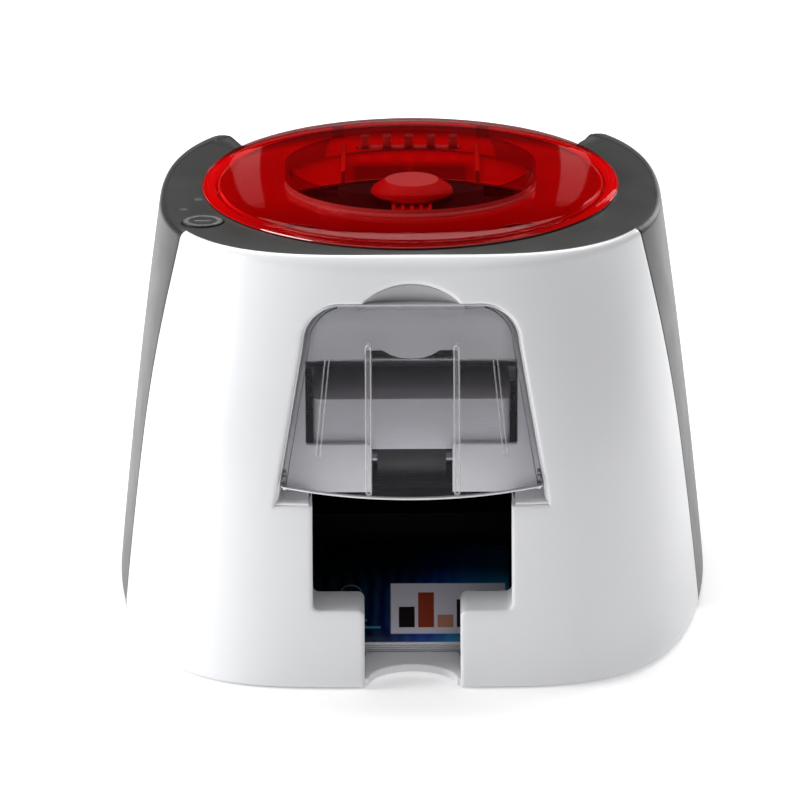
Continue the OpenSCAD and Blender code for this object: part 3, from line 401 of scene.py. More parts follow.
def skin(place, rims, seeds, thick, clear=1.1, turns=5):
    """A closed wall over a flat drawing with rounded borders; place maps the drawing into space."""
    lines = [b["line"] + leftward(b["line"]) * b["radius"][:, None] for b in rims]
    seeds = seeds[between(seeds, lines)]
    for line in lines:
        seeds = seeds[clearance(seeds, line) > clear]
    flat = np.concatenate(lines + [seeds])
    segments, base = [], 0
    for line in lines:
        n = len(line)
        segments += [(base + i, base + (i + 1) % n) for i in range(n)]
        base += n
    cut = delaunay_2d_cdt([Vector(p) for p in flat], segments, [], 0, 1e-9)
    first = [o[0] if o else -1 for o in cut[3]]
    tris = np.array([[first[i] for i in t] for t in cut[2]])
    tris = tris[(tris >= 0).all(1)]
    tris = tris[between(flat[tris].mean(1), lines)]
    count = len(flat)
    verts = [place(flat, np.zeros(count)), place(flat, np.full(count, thick))]
    faces = [tuple(t) for t in tris] + [tuple(t[::-1] + count) for t in tris]
    top, base = 2 * count, 0
    for b in rims:
        line, step, radius = b["line"], leftward(b["line"]), b["radius"]
        n = len(line)
        rows = [np.arange(base, base + n)]
        for k in range(1, turns + 1):
            a = pi / 2 * k / turns
            at = line + step * (radius * (1 - sin(a)))[:, None]
            verts.append(place(at, radius * (1 - cos(a))))
            rows.append(np.arange(top, top + n))
            top += n
        half = np.where(np.abs(b["deep"] - thick) < 1e-6, 0.5, 1.0)
        for at, far in ((line, b["far"]), (line + step * (radius * half)[:, None], b["far_out"])):
            p = place(at, b["deep"])
            verts.append(np.where(np.isnan(far), p, far))
            rows.append(np.arange(top, top + n))
            top += n
        rows.append(np.arange(base, base + n) + count)
        for low, high in zip(rows, rows[1:]):
            for i in range(n):
                k = (i + 1) % n
                faces.append((low[i], low[k], high[k], high[i]))
        base += n
    return np.concatenate(verts), faces


def seed_grid(xs, ys):
    return np.stack(np.meshgrid(xs, ys, indexing="ij"), -1).reshape(-1, 2)


# ---- Body skin ----

SIDE = 175.0
ARC = 9.0
SEAM_GAP = 0.09


class Face:
    """The front or the rear part of the body's skin, drawn flat as (arc length, height)."""

    def __init__(self, rear):
        self.rear = rear
        u = np.linspace(-1, 1, 1601)
        p = outline(self.angle(u, 90.0), 90.0, 0.0)
        s = np.concatenate([[0], np.cumsum(np.linalg.norm(np.diff(p, axis=0), axis=1))])
        self.u, self.s = u, s - s[800]

    def half_turn(self, z):
        return (90 - seam_angle(z) if self.rear else 90 + seam_angle(z)) - SEAM_GAP

    def angle(self, u, z):
        return 90 - u * self.half_turn(z) if self.rear else -90 + u * self.half_turn(z)

    def place(self, flat, depth):
        u = np.interp(flat[:, 0], self.s, self.u)
        low = np.clip(flat[:, 1] / SIDE, 0, 1)
        turn = SHOULDER * np.clip((flat[:, 1] - SIDE) / ARC, 0, 1)
        r_seam = float(shoulder_r(-25.0))
        z_seam = FOOT_H + (float(edge_z(-25.0)) - r_seam * sin(SHOULDER) - FOOT_H) * low
        th = self.angle(u, z_seam + r_seam * np.sin(turn))
        r = shoulder_r(th)
        z0 = edge_z(th) - r * sin(SHOULDER)
        z = FOOT_H + (z0 - FOOT_H) * low + (r - depth) * np.sin(turn)
        inset = np.where(turn > 0, r - (r - depth) * np.cos(turn), depth)
        return outline(th, z, inset + 1.2 * np.clip(1 - (z - FOOT_H) / 3.5, 0, 1) ** 2)

    def flat(self, xz):
        """Where points given by x and z fall in the drawing."""
        x, z = xz[:, 0], xz[:, 1]
        y = skin_y(x, z, self.rear)
        th = np.degrees(np.arctan2(y - LID_Y, x))
        u = ((90 - th) if self.rear else (th + 90)) / self.half_turn(z)
        z0 = edge_z(th) - shoulder_r(th) * sin(SHOULDER)
        return np.stack([np.interp(u, self.u, self.s), SIDE * (z - FOOT_H) / (z0 - FOOT_H)], -1)

    def seeds(self, fine):
        s = self.s[-1]
        rows = np.concatenate([[3.5, 7.5], np.arange(12, SIDE - 3, 4.0), [SIDE - 3, SIDE - 1],
                               SIDE + ARC * np.array([0.06, 0.2, 0.36, 0.52, 0.68, 0.82])])
        return seed_grid(np.unique(np.concatenate([np.arange(-s, s + 0.1, 4.0), fine])), rows)


def pocket_side(z):
    return POCKET_LOW + (POCKET_HIGH - POCKET_LOW) * (z - POCKET_Z) / (POCKET_SHOULDER_Z - POCKET_Z)


def pocket_upper(grow=0.0, dish=True):
    """Right half of the pocket's outline from its lower corner to the middle of the top."""
    top = POCKET_TOP + grow
    side = pocket_side(top - POCKET_CORNER) + grow
    pts = [(pocket_side(z) + grow, z) for z in np.linspace(POCKET_Z - grow, top - POCKET_CORNER, 26)]
    pts += [(side - POCKET_CORNER * (1 - cos(a)), top - POCKET_CORNER * (1 - sin(a)))
            for a in np.radians(np.arange(9, 90.1, 9))]
    r, cz = DISH_R + grow, POCKET_TOP + DISH_RISE - DISH_R
    if dish:
        a0 = asin((top - cz) / r)
        x0 = r * cos(a0)
        pts += [(x, top) for x in np.linspace(pts[-1][0], x0, 6)[1:-1]]
        pts += [(r * cos(a), cz + r * sin(a)) for a in np.linspace(a0, pi / 2, 16)[:-1]]
    else:
        pts += [(x, top) for x in np.linspace(pts[-1][0], 0, 12)[1:-1]]
    return pts


def mirrored(right):
    """Closed outline from its right half, which runs up from the bottom to the middle."""
    top = [(0.0, right[-1][1])] if abs(right[-1][0]) > 1e-6 else []
    return [tuple(p) for p in right] + top + [(-p[0], p[1]) for p in reversed(right)]


def front_piece():
    """The white front, its opening drawn from the thumb slot up to the pocket's finger dish."""
    face = Face(rear=False)
    half_m, half_s = MOUTH_W / 2, SLOT_W / 2
    right = [(half_s, z) for z in np.linspace(2.2, LEDGE_Z - 3, 9)]
    right += round_corner((half_s, LEDGE_Z), (half_s, 0), (60, LEDGE_Z), 3.0)[1:]
    right += [(x, LEDGE_Z) for x in np.linspace(half_s + 3, half_m - 3.2, 7)[1:]]
    right += round_corner((half_m, LEDGE_Z), (0, LEDGE_Z), (half_m, 90), 3.0)[1:]
    right += [(half_m, z) for z in np.linspace(LEDGE_Z + 3.2, POCKET_Z, 14)[1:]]
    right += [(x, POCKET_Z) for x in np.linspace(half_m, POCKET_LOW, 6)[1:-1]]
    xz = np.array(mirrored(right + pocket_upper(0.15)))[::-1]
    opening = face.flat(xz)
    s_end, top, edge = face.s[-1], SIDE + ARC, float(opening[-1, 0])
    # Round the border counter-clockwise: right foot, right seam, top, left seam, left foot
    border = [(edge, 0.0)] + [(s, 0.0) for s in np.arange(edge + 3, s_end - 1, 3.0)]
    border += [(s_end, v) for v in np.append(np.arange(0, top, 3.0), top)]
    border += [(s, top) for s in np.arange(s_end - 3, -s_end + 2, -3.0)]
    border += [(-s_end, v) for v in np.concatenate([[top], np.arange(top - 3, 0.1, -3.0), [0.0]])]
    border += [(s, 0.0) for s in np.arange(-s_end + 3, -edge - 1, 3.0)] + [(-edge, 0.0)]
    # The mouth's cheeks run straight back to the pocket's wall; the dish's lip is rounder
    mouth = (xz[:, 1] <= POCKET_Z + 0.01) & (np.abs(xz[:, 0]) <= half_m + 0.5)
    dish_lip = (xz[:, 1] > POCKET_TOP + 0.6) & (np.abs(xz[:, 0]) < DISH_R)
    step = leftward(np.concatenate([[xz[0] - [0, 5]], xz, [xz[-1] - [0, 5]]]))[1:-1]
    back = np.where(mouth[:, None], np.insert(xz, 1, BACK_Y, 1), np.nan)
    bare = np.full((len(border), 3), np.nan)
    radius = np.concatenate([np.full(len(border), 0.45), np.where(dish_lip, 2.2, 1.25)])
    deep = np.concatenate([np.full(len(border), WALL), np.where(mouth, WALL, WALL + 1.6)])
    edge_rim = rim(np.concatenate([border, opening]), radius, deep, np.concatenate([bare, back]),
                   np.concatenate([bare, back + np.insert(step, 1, 0.0, 1) * 1.5]))
    seeds = face.seeds(np.arange(-66, 66.1, 2.5))
    return make_object("front_cover_skin", *skin(face.place, [edge_rim], seeds, WALL))


def hole(face, outline_xz, radius=0.5):
    """A hole in a body skin from its outline in x and z."""
    return rim(ccw(face.flat(np.asarray(outline_xz, float)), want=False), radius, WALL)


def rounded_rect(x0, x1, z0, z1, r, steps=4):
    corners = [(x0, z0), (x1, z0), (x1, z1), (x0, z1)]
    return np.concatenate([round_corner(c, corners[i - 1], corners[(i + 1) % 4], r, steps)
                           for i, c in enumerate(corners)])


JACK_X = -34.0
USB_X = -6.0
SOCKET_Z = 30.0


def rear_piece():
    """The dark sides and back, with the two sockets' openings and the air slots."""
    face = Face(rear=True)
    s_end, top_v = face.s[-1], SIDE + ARC
    half = np.arange(0, s_end, 3.0)
    around = np.concatenate([-half[::-1], half[1:]])
    # Points stand closer together where the deck steps down at the two horns
    u_step = np.arange(HORN_FROM, HORN_TO, 0.6) / face.half_turn(150.0)
    s_step = np.interp(np.concatenate([-u_step, u_step]), face.u, face.s)
    ups = np.arange(3.0, top_v - 1, 3.0)
    border = [(s, 0.0) for s in np.concatenate([[-s_end], around, [s_end]])]
    border += [(s_end, v) for v in np.append(ups, top_v)]
    border += [(s, top_v) for s in np.unique(np.concatenate([around, s_step]))[::-1]]
    border += [(-s_end, v) for v in np.append(ups, top_v)[::-1]]
    border = np.array(border)
    border = ccw(border[np.linalg.norm(border - np.roll(border, 1, 0), axis=1) > 0.2])
    rims = [rim(border, np.where(border[:, 1] > top_v - 0.01, 0.12, 0.45), WALL)]
    for x, w, h in ((JACK_X, 7.4, 6.9), (USB_X, 6.9, 6.4)):
        rims.append(hole(face, rounded_rect(x - w, x + w, SOCKET_Z - h, SOCKET_Z + h, 1.5)))
    for x in 14 + 7 * np.arange(8):
        rims.append(hole(face, spaced(rounded_rect(x, x + 3, 46, 84, 1.45), 4.0), 0.45))
    return make_object("rear_casing_skin", *skin(face.place, rims, face.seeds(s_step), WALL, clear=0.9))


BUTTON = (-91.0, -104.0)
BUTTON_R = 9.0
LIGHTS = ((-100.0, -84.0), (-94.0, -68.0))
DECK_T = 2.2


def ellipse(cx, cy, rx, ry, step):
    """Points on an ellipse in plan, step degrees apart."""
    return upright(cx, cy, rx, ry)(1.0, np.radians(np.arange(0, 360, step)), 0.0)[:, :2]


def opening_r(th):
    """The radius of the lid's opening in the deck in directions th."""
    c, s = np.cos(np.radians(th)), np.sin(np.radians(th))
    return OPEN_RX * OPEN_RY / np.hypot(OPEN_RY * c, OPEN_RX * s)


def deck_height(xy):
    """Height of the deck's top surface at points in plan."""
    x, y = xy[:, 0], xy[:, 1] - LID_Y
    th = np.degrees(np.arctan2(y, x))
    th = np.where(th < -90, th + 360, th)
    outer = deck_edge(th, 0.4)
    r_in, r_out = opening_r(th), np.hypot(outer[:, 0], outer[:, 1] - LID_Y)
    f = np.clip((r_out - np.hypot(x, y)) / np.maximum(r_out - r_in, 1.0), 0, 1)
    low, high = edge_z(th), inner_edge_z(th)
    return low + (high - low) * f + 1.1 * f * (1 - f)


def deck_piece():
    """The dark deck with the lid's opening, the button's and the lights' holes and the hinge pads."""
    steps = np.arange(HORN_FROM, HORN_TO, 0.75)
    angles = np.unique(np.round(np.concatenate([np.arange(0, 360, 2.0), 90 + steps, 90 - steps]), 3))
    border = ccw(deck_edge(wrapped(angles), 0.08)[:, :2])
    bearing = np.degrees(np.arctan2(border[:, 1] - LID_Y, np.abs(border[:, 0])))
    rims = [rim(border, np.where(bearing > float(seam_angle(180.0)), 0.12, 0.3), DECK_T)]
    for line, radius, deep in [(ellipse(0, LID_Y, OPEN_RX, OPEN_RY, 2.0), 1.3, 5.2),
                               (ellipse(*BUTTON, BUTTON_R + 0.35, BUTTON_R + 0.35, 9.0), 0.5, DECK_T),
                               *[(ellipse(*p, 2.05, 2.05, 15.0), 0.25, DECK_T) for p in LIGHTS]]:
        rims.append(rim(ccw(line, False), radius, deep))
    seeds = []
    for j, f in enumerate(np.linspace(0.06, 0.94, 9)):
        th = np.arange(0, 360, 1.6) + 0.8 * (j % 2)
        outer, r_in = deck_edge(wrapped(th), 0.4)[:, :2], opening_r(th)
        inner = upright(0, LID_Y)(r_in, np.radians(th), 0.0)[:, :2]
        seeds.append(outer + (inner - outer) * f)
    parts = Parts().add(*skin(lambda flat, depth: np.column_stack([flat, deck_height(flat) - depth]),
                              rims, np.concatenate(seeds), DECK_T, clear=0.8))
    for x in (-HINGE_X, HINGE_X):
        parts.box((x - 8, 52, PAD_Z - 8), (x + 8, LID_AXIS[0] + 18, PAD_Z), 0.9)
    return parts.object("deck_frame_skin")


def button_ring():
    """Thin raised ring and short dash printed on the button's top."""
    low, high = DECK_Z + 0.6, DECK_Z + 0.97
    parts = Parts().lathe([(6.3, low), (8.4, low), (8.4, high), (6.3, high)], upright(*BUTTON), 72)
    x, y = BUTTON
    parts.box((x - 3.6, y - 0.9, low), (x + 3.6, y + 0.9, high), 0.03)
    return parts.object("button_ring")


# ---- Lid ----

LID_COLS = 168
SKIRT_Z = LID_RIM_Z - 5.0
LID_FLOOR_Z = LID_RIM_Z + 0.5
LID_FLOOR_T = 1.2
DRUM_R = 54.0
DRUM_T = 2.0
WELL_Y = -38.0
WELL_BACK_R = 72.5
RIB_X, RIB_Y = 30.0, -44.0
SKIRT_TURN = 53.5
COMB_X = -0.6


def lid_crown(f):
    return LID_RIM_Z + 1.6 + LID_RISE * (1 - f**2.2)


def lid_profile():
    """Closed profile of the lid as fractions of its radius and heights, from the crown outwards."""
    dome = [(f, lid_crown(f)) for f in np.concatenate([[0.0005], np.linspace(0.04, 0.92, 30)])]
    bead = [(0.938, lid_crown(0.938) - 0.1), (0.948, lid_crown(0.948) - 0.25),
            (0.955, lid_crown(0.955) - 0.22), (0.964, lid_crown(0.955) + 0.02),
            (0.973, lid_crown(0.955) + 0.05), (0.982, LID_RIM_Z + 2.45),
            (0.99, LID_RIM_Z + 1.75), (0.9965, LID_RIM_Z + 0.95), (0.9995, LID_RIM_Z + 0.3),
            (0.9985, LID_RIM_Z), (0.995, LID_RIM_Z - 0.1)]
    under = [(0.937, LID_RIM_Z - 0.1), (0.935, LID_RIM_Z - 0.4), (0.935, SKIRT_Z + 0.4), (0.932, SKIRT_Z),
             (0.915, SKIRT_Z), (0.912, SKIRT_Z + 0.4), (0.912, LID_RIM_Z + 0.9), (0.908, LID_RIM_Z + 1.3)]
    inside = [(f, lid_crown(f) - LID_WALL) for f in np.concatenate([np.linspace(0.88, 0.04, 26), [0.0005]])]
    return dome + bead + under + inside


def lid_floor(parts):
    """Red floor between the drum and the skirt, open over the works, with a bead at the drum's foot."""
    r = DRUM_R + 0.6
    # The well: the drum's circle in front, a flatter arc behind, meeting at the sides
    cy = WELL_Y - WELL_BACK_R
    meet = (r * r - WELL_BACK_R**2 + cy * cy - LID_Y**2) / (2 * (cy - LID_Y))
    side, turn = asin((meet - LID_Y) / r), asin((meet - cy) / WELL_BACK_R)
    front, back = np.linspace(pi - side, 2 * pi + side, 70), np.linspace(turn, pi - turn, 50)[1:-1]
    well = np.concatenate([upright(0, LID_Y)(r, front, 0.0), upright(0, cy)(WELL_BACK_R, back, 0.0)])[:, :2]
    holes = [spaced(well, 3.0), spaced(rounded_rect(COMB_X - 23.6, COMB_X + 23.6, 11.6, 17.6, 0.5, 2), 4.0)]
    for s in (-1, 1):
        slot = rounded_rect(-7.0, 7.0, -2.6, 2.6, 0.8, 3)
        c, q = cos(radians(22 * s)), sin(radians(22 * s))
        holes.append(slot @ np.array([[c, q], [-q, c]]) + [48.0 * s, -115.0])
    rims = [rim(ccw(ellipse(0, LID_Y, LID_RX * 0.922, LID_RY * 0.922, 2.5)), 0.05, LID_FLOOR_T)]
    rims += [rim(ccw(h, False), 0.3, LID_FLOOR_T) for h in holes]
    seeds = seed_grid(np.arange(-84, 85, 7.0), np.arange(-140, 51, 7.0))
    parts.add(*skin(level(LID_FLOOR_Z), rims, seeds, LID_FLOOR_T, turns=2))
    # The bead is widest in front and dies out at the sides
    a = np.radians(np.linspace(178, 362, 93))
    wide = 0.25 + 1.75 * np.maximum(0.0, -np.sin(a)) ** 1.5
    rows = []
    for out, up in ((0, -0.3), (1.0, -0.3), (1.0, 0.12), (0.86, 0.5), (0.5, 0.9), (0, 1.0)):
        reach = DRUM_R + DRUM_T - 0.2 + 0.2 * (out > 0) + out * wide
        rise = up * (0.3 + 0.55 * wide) if up > 0 else up
        rows.append(upright(0, LID_Y)(reach, a, LID_FLOOR_Z + rise))
    parts.loft(rows)


def lid_piece():
    """The clear lid with its drum, floor, two ribs, rear skirt and hinge arms."""
    parts = Parts().lathe(lid_profile(), upright(0, LID_Y, LID_RX, LID_RY), LID_COLS)
    drum_top = lid_crown(0.55) - 1.0
    foot = [(0.0, -1.8), (0.3, -2.2), (1.0, -2.3), (1.7, -2.2), (DRUM_T, -1.8)]
    drum = [(DRUM_R + r, LID_RIM_Z + z) for r, z in foot] + [(DRUM_R + DRUM_T, drum_top), (DRUM_R, drum_top)]
    parts.lathe(drum, upright(0, LID_Y), 144)
    lid_floor(parts)
    for x in (-RIB_X, RIB_X):
        parts.box((x - 1, RIB_Y, LID_FLOOR_Z - 0.4), (x + 1, 0.5, LID_FLOOR_Z + 5.3), 0.35)
    # The skirt over the lowered deck behind the lid
    a = np.radians(90 + np.linspace(-SKIRT_TURN, SKIRT_TURN, 55))
    bearing = np.degrees(np.arctan2(LID_RY * np.sin(a), LID_RX * np.cos(a)))
    inner = inner_edge_z(bearing)
    low = inner + 1.1 + 0.14 * np.maximum(0, edge_z(bearing) - inner)
    parts.loft([upright(0, LID_Y, LID_RX, LID_RY)(f, a, z)
                for f, z in ((0.975, low + 0.4), (0.975, LID_RIM_Z + 0.5), (0.955, LID_RIM_Z + 0.5),
                             (0.955, low + 0.4), (0.958, low), (0.972, low))])
    for x in (-HINGE_X, HINGE_X):
        for y0, y1, z0, z1, r in ((30, 50, LID_RIM_Z - 2.6, LID_RIM_Z + 1, 0.8),
                                  (48, 58, LID_RIM_Z - 2.6, LID_RIM_Z - 1, 0.7),
                                  (54, LID_AXIS[0] - 1, LID_AXIS[1] - 2.4, LID_RIM_Z - 2, 0.8)):
            parts.box((x - 3, y0, z0), (x + 3, y1, z1), r)
        parts.lathe(tube(3.5, x - 3, x + 3, bore=1.55), lying(*LID_AXIS), 32)
    return parts.object("lid_shell")


# ---- Feeder cover ----


def cover_half(z):
    c = COVER_TOP - POCKET_CORNER
    s = pocket_side(np.minimum(z, c)) - COVER_GAP
    return s - POCKET_CORNER * (1 - np.sqrt(np.maximum(0, 1 - (np.maximum(z - c, 0) / POCKET_CORNER) ** 2)))


def cover_point(u, v, depth, lift=0.0):
    """The smoke cover's skin: u across from -1 to 1, v up from 0 to 1."""
    zb = COVER_LOW - COVER_SAG * (1 - u * u)
    z = zb + v * (COVER_TOP - zb)
    edge = np.abs(u)
    x = (cover_half(z) - depth * edge) * u
    y = front_y(z) + 0.6 - COVER_BULGE * (1 - u * u) * (1 - smooth(v * 1.6)) + 1.4 * u * u
    return np.stack([x, y + depth - lift, z], -1)


def cover_piece():
    """The smoked cover: a crowned skin with its sides turned back, ribs and two pivots."""
    ends = np.array([0, 0.003, 0.01, 0.0225])
    us = np.concatenate([ends - 1, np.linspace(-0.95, 0.95, 77), 1 - ends[::-1]])
    vs = np.concatenate([[0, 0.006, 0.02], np.linspace(0.04, 0.8, 26), np.linspace(0.82, 0.985, 16), [0.992]])
    u, v = np.meshgrid(us, vs)
    flange = 7.0 * np.minimum(1.0, 0.3 + 6.0 * vs)[:, None]
    turn = np.clip((np.abs(u) - 0.965) / 0.035, 0, 1)

    def sheet(depth, short):
        """Skin at a depth, its sides carried back by the flange but not as far as the pocket's wall."""
        p = cover_point(u, v, depth)
        p[..., 1] += (1.6 - 0.9 * depth / 2) * (1 - np.sqrt(np.maximum(0, 1 - turn**2)))
        sides = []
        for edge in (p[:, :1], p[:, -1:]):
            side = edge.copy()
            side[..., 1] = np.minimum(side[..., 1] + np.maximum(flange - short, 0.05), BACK_Y - 1.0)
            sides.append(side)
        return np.concatenate([sides[0], p, sides[1]], 1)

    parts = Parts().slab(sheet(0.0, 1.6), sheet(2.0, 2.7))
    for s in (-1, 1):
        cover_rib(parts, COVER_RIB_X * s + COVER_SHIFT, 87.2, 150.0, 1.1)
        side_rib(parts, s)
    pin_x = pocket_side(COVER_AXIS[1]) - COVER_GAP
    for s in (-1, 1):
        for r, reach, e, steps in ((2.0, 1.6, 0.4, 32), (4.5, -0.3, 0.3, 40)):
            a, b = sorted((s * (pin_x - 2.0), s * (pin_x + reach)))
            parts.lathe(tube(r, a, b, e), lying(*COVER_AXIS), steps)
    return parts.object("feeder_cover_shell", 45.0)


def cover_uv(x, z):
    """The cover's u and v for a place given by x and z."""
    u = x / cover_half(z)
    zb = COVER_LOW - COVER_SAG * (1 - u * u)
    return u, (z - zb) / (COVER_TOP - zb)


def sweep(parts, path, width, height, closed=True, sink=0.6):
    """A rounded ridge that follows points (x, z) on the cover's front."""
    path = np.asarray(path, float)
    t = unit(np.roll(path, -1, 0) - np.roll(path, 1, 0)) if closed else unit(np.gradient(path, axis=0))
    normal = np.stack([-t[:, 1], t[:, 0]], -1)
    half = [(-1.0, -sink), (-1.0, 0.25 * height), (-0.75, 0.7 * height), (-0.3, 0.97 * height)]
    rings = []
    for side, lift in half + [(-side, lift) for side, lift in reversed(half)]:
        x, z = (path + normal * (side * width / 2)).T
        rings.append(cover_point(*cover_uv(x, z), 0.0, lift))
    parts.loft(rings, closed)


def cover_rib(parts, x, z0, z1, half):
    """A long narrow ring: two upright ridges joined by round ends."""
    a = np.radians(np.arange(0, 181, 20))
    path = [(x + half * cos(t), z1 - half + half * sin(t)) for t in a]
    path += [(x - half, z) for z in np.linspace(z1 - half, z0 + half, 24)[1:-1]]
    path += [(x - half * cos(t), z0 + half - half * sin(t)) for t in a]
    path += [(x + half, z) for z in np.linspace(z0 + half, z1 - half, 24)[1:-1]]
    sweep(parts, path, 0.8, 0.8)


def side_rib(parts, s):
    """The slanted pair of fine ridges near the cover's side."""
    for shift in (0.0, 1.8):
        zs = np.linspace(102.7, 144.0, 18)
        xs = np.interp(zs, [102.7, 144.0], [39.6, 35.4]) + shift
        sweep(parts, np.stack([s * xs, zs], -1), 0.7, 0.45, closed=False)


def back_wall_piece():
    """Liner of the pocket: its back wall with the card window, its sides and the finger dish."""
    half, z0, z1, mid, notch = 46.0, 102.5, 141.0, 145.0, 17.7
    foot = [(x, POCKET_Z) for x in np.linspace(notch, POCKET_LOW - 1, 6)]
    outer = mirrored(foot + pocket_upper(-0.4, False))
    # The window is open at its foot; a round tongue hangs into its upper edge
    left = [(-notch, POCKET_Z), (-notch, z0), (-half, z0), (-half, z1), (-20, z1), (-20, mid), (-12.5, mid),
            (-9, z1 + 1.9), (-5, z1 + 0.6)]
    window = left + [(0, z1 + 0.1)] + [(-x, z) for x, z in reversed(left)]
    corners = []
    for before, corner, after in zip(window, window[1:], window[2:]):
        corners += round_corner(corner, before, after, 0.9, 3)
    wall_rim = rim(ccw(spaced(outer + corners, 3.0)), 0.45, 2.0)
    parts = Parts().add(*skin(lambda flat, depth: xyz(flat[:, 0], BACK_Y + depth, flat[:, 1]), [wall_rim],
                              seed_grid(np.arange(-57, 58, 4.0), np.arange(84, 168, 4.0)), 2.0))
    # Side walls and roof of the pocket, and the floor beside the hopper's mouth
    right = [(POCKET_LOW - 0.05, POCKET_Z)] + pocket_upper(-0.05, False)[1:]
    ring = np.array(right + [(0.0, POCKET_TOP)] + [(-x, z) for x, z in reversed(right)])
    ring = np.concatenate([np.linspace((MOUTH_W / 2 + 1.2, POCKET_Z), ring[0], 5)[:-1], ring,
                           np.linspace(ring[-1], (-MOUTH_W / 2 - 1.2, POCKET_Z), 5)[1:]])
    t = unit(np.gradient(ring, axis=0))
    out = np.stack([t[:, 1], -t[:, 0]], -1)
    front, back, wall = skin_y(ring[:, 0], ring[:, 1]) + 1.5, BACK_Y + 0.5, BEZEL_T - 0.1
    rows = []
    for off, y in ((0.0, front + 0.3), (0.0, back), (-wall, back), (-wall, front + 0.3), (0.25 - wall, front),
                   (-0.25, front)):
        x, z = (ring + out * off).T
        rows.append(xyz(x, y, z))
    dish(parts.loft(rows))
    return parts.object("feeder_liner")


def dish(parts):
    """The finger dish: a shallow scoop behind the cover's upper edge."""
    r, cz = DISH_R - 0.2, POCKET_TOP + DISH_RISE - DISH_R
    a0 = asin((POCKET_TOP - 3.0 - cz) / r)
    across, d = np.linspace(a0, pi - a0, 33), np.linspace(0, 1, 15)[:, None]
    x, top = r * np.cos(across) * (1 - 0.10 * d), cz + r * np.sin(across)
    z = top + (POCKET_TOP - 6.0 - top) * d
    start = skin_y(x, np.minimum(top, 181.0)) + 2.0
    y = start + (BACK_Y - 0.6 - start) * np.sin(0.5 * pi * np.clip(d * 1.15, 0, 1)) ** 1.3
    outer = xyz(x, y, z)
    parts.slab(outer, outer + [0, 1.8, 0.8])


def tray_piece():
    """Floor of the thumb slot with its round bite."""
    thumb_r, cy = 19.4, -168.0 - 19.4
    front, half = front_y(0.0) + 1.6, SLOT_W / 2 - 0.1
    a0 = acos(min(1.0, (front - cy) / thumb_r))
    arc = [(-thumb_r * sin(a), cy + thumb_r * cos(a)) for a in np.linspace(a0, -a0, 36)]
    line = []
    for p in [(-half, -150.0), (-half, front), (arc[0][0], front), *arc, (arc[-1][0], front), (half, front),
              (half, -150.0)]:
        if not line or dist(p, line[-1]) > 0.15:
            line.append(p)
    seeds = seed_grid(np.arange(-20, 21, 2.5), np.arange(-186, -150, 2.5))
    rims = [rim(ccw(spaced(line, 2.5)), 0.7, 3.4)]
    return make_object("tray_plate", *skin(level(FOOT_H + 4.0), rims, seeds, 3.4))


# ---- Cards ----


def card_stack(name, count, place_card):
    """A stack of rounded cards, each a hair thinner than its pitch."""
    parts = Parts()
    line = ccw(rounded_rect(-CARD_W / 2, CARD_W / 2, 0.0, CARD_D, CARD_R, 8))
    thick = CARD_T - 0.04
    seeds = seed_grid(np.arange(-40, 41, 8.0), np.arange(4, 52, 8.0))
    for i in range(count):
        parts.add(*skin(lambda flat, depth: place_card(i, flat, thick - depth),
                        [rim(line, 0.12, thick)], seeds, thick, turns=2))
    return parts.object(name)


def blank_place(i, flat, up):
    return xyz(flat[:, 0], BACK_Y + 4 + flat[:, 1], BLANK_Z + i * CARD_T + up)


def printed_place(i, flat, up):
    along, rise = flat[:, 1] + i % 2 * 0.5, i * CARD_T + up
    return xyz(flat[:, 0], CARD_FRONT[0] + along * cos(TILT) - rise * sin(TILT),
               CARD_FRONT[1] + along * sin(TILT) + rise * cos(TILT))


# ---- Under the lid ----


KNOB_X, KNOB_Y = 0.6, -67.0
TONGUE_Y = -97.0
KNOB_Z = LID_RIM_Z - 0.8


def knob_piece():
    """Head latch knob on a ribbed tongue: a waisted body with fluting and a flat top, which carries a painted
    highlight.
    """
    z = KNOB_Z
    body = [(0.01, 0), (10.2, 0), (10.6, 0.4), (13.6, 1.2), (16.4, 2.1), (17.9, 3.1), (18.2, 3.6),
            (17.9, 4.4), (17.2, 5.4), (15.6, 6.5), (13.4, 7.9), (12.2, 8.7), (11.4, 9.08), (10.6, 9.05),
            (0.01, 9.0)]
    parts = Parts().lathe([(r, z + up) for r, up in body], upright(KNOB_X, KNOB_Y), 96)
    for a in 2 * pi * np.arange(30) / 30:
        parts.box((-0.9, -0.7, z + 2.9), (0.7, 0.7, z + 5.2), 0.3,
                  lambda v: xyz(KNOB_X + (16.9 + v[:, 0]) * cos(a) - v[:, 1] * sin(a),
                                KNOB_Y + (16.9 + v[:, 0]) * sin(a) + v[:, 1] * cos(a), v[:, 2]))
    parts.box((KNOB_X - 9, TONGUE_Y, z), (KNOB_X + 9, KNOB_Y, z + 0.6), 0.2)
    for x in KNOB_X + 4.0 * np.arange(-2, 3):
        parts.box((x - 0.8, TONGUE_Y, z + 0.3), (x + 0.8, KNOB_Y, z + 2.0), 0.3)
    return parts.object("latch_knob")


def comb_piece():
    """Five upright bars on a foot near the lid's rear edge."""
    z = LID_RIM_Z
    parts = Parts().box((COMB_X - 23, 12, z - 0.8), (COMB_X + 23, 17, z + 1), 0.4)
    for x in COMB_X + 10.0 * np.arange(-2, 3):
        parts.box((x - 2, 12, z + 0.6), (x + 2, 17, z + 6.3), 0.5)
    return parts.object("card_guide_comb")


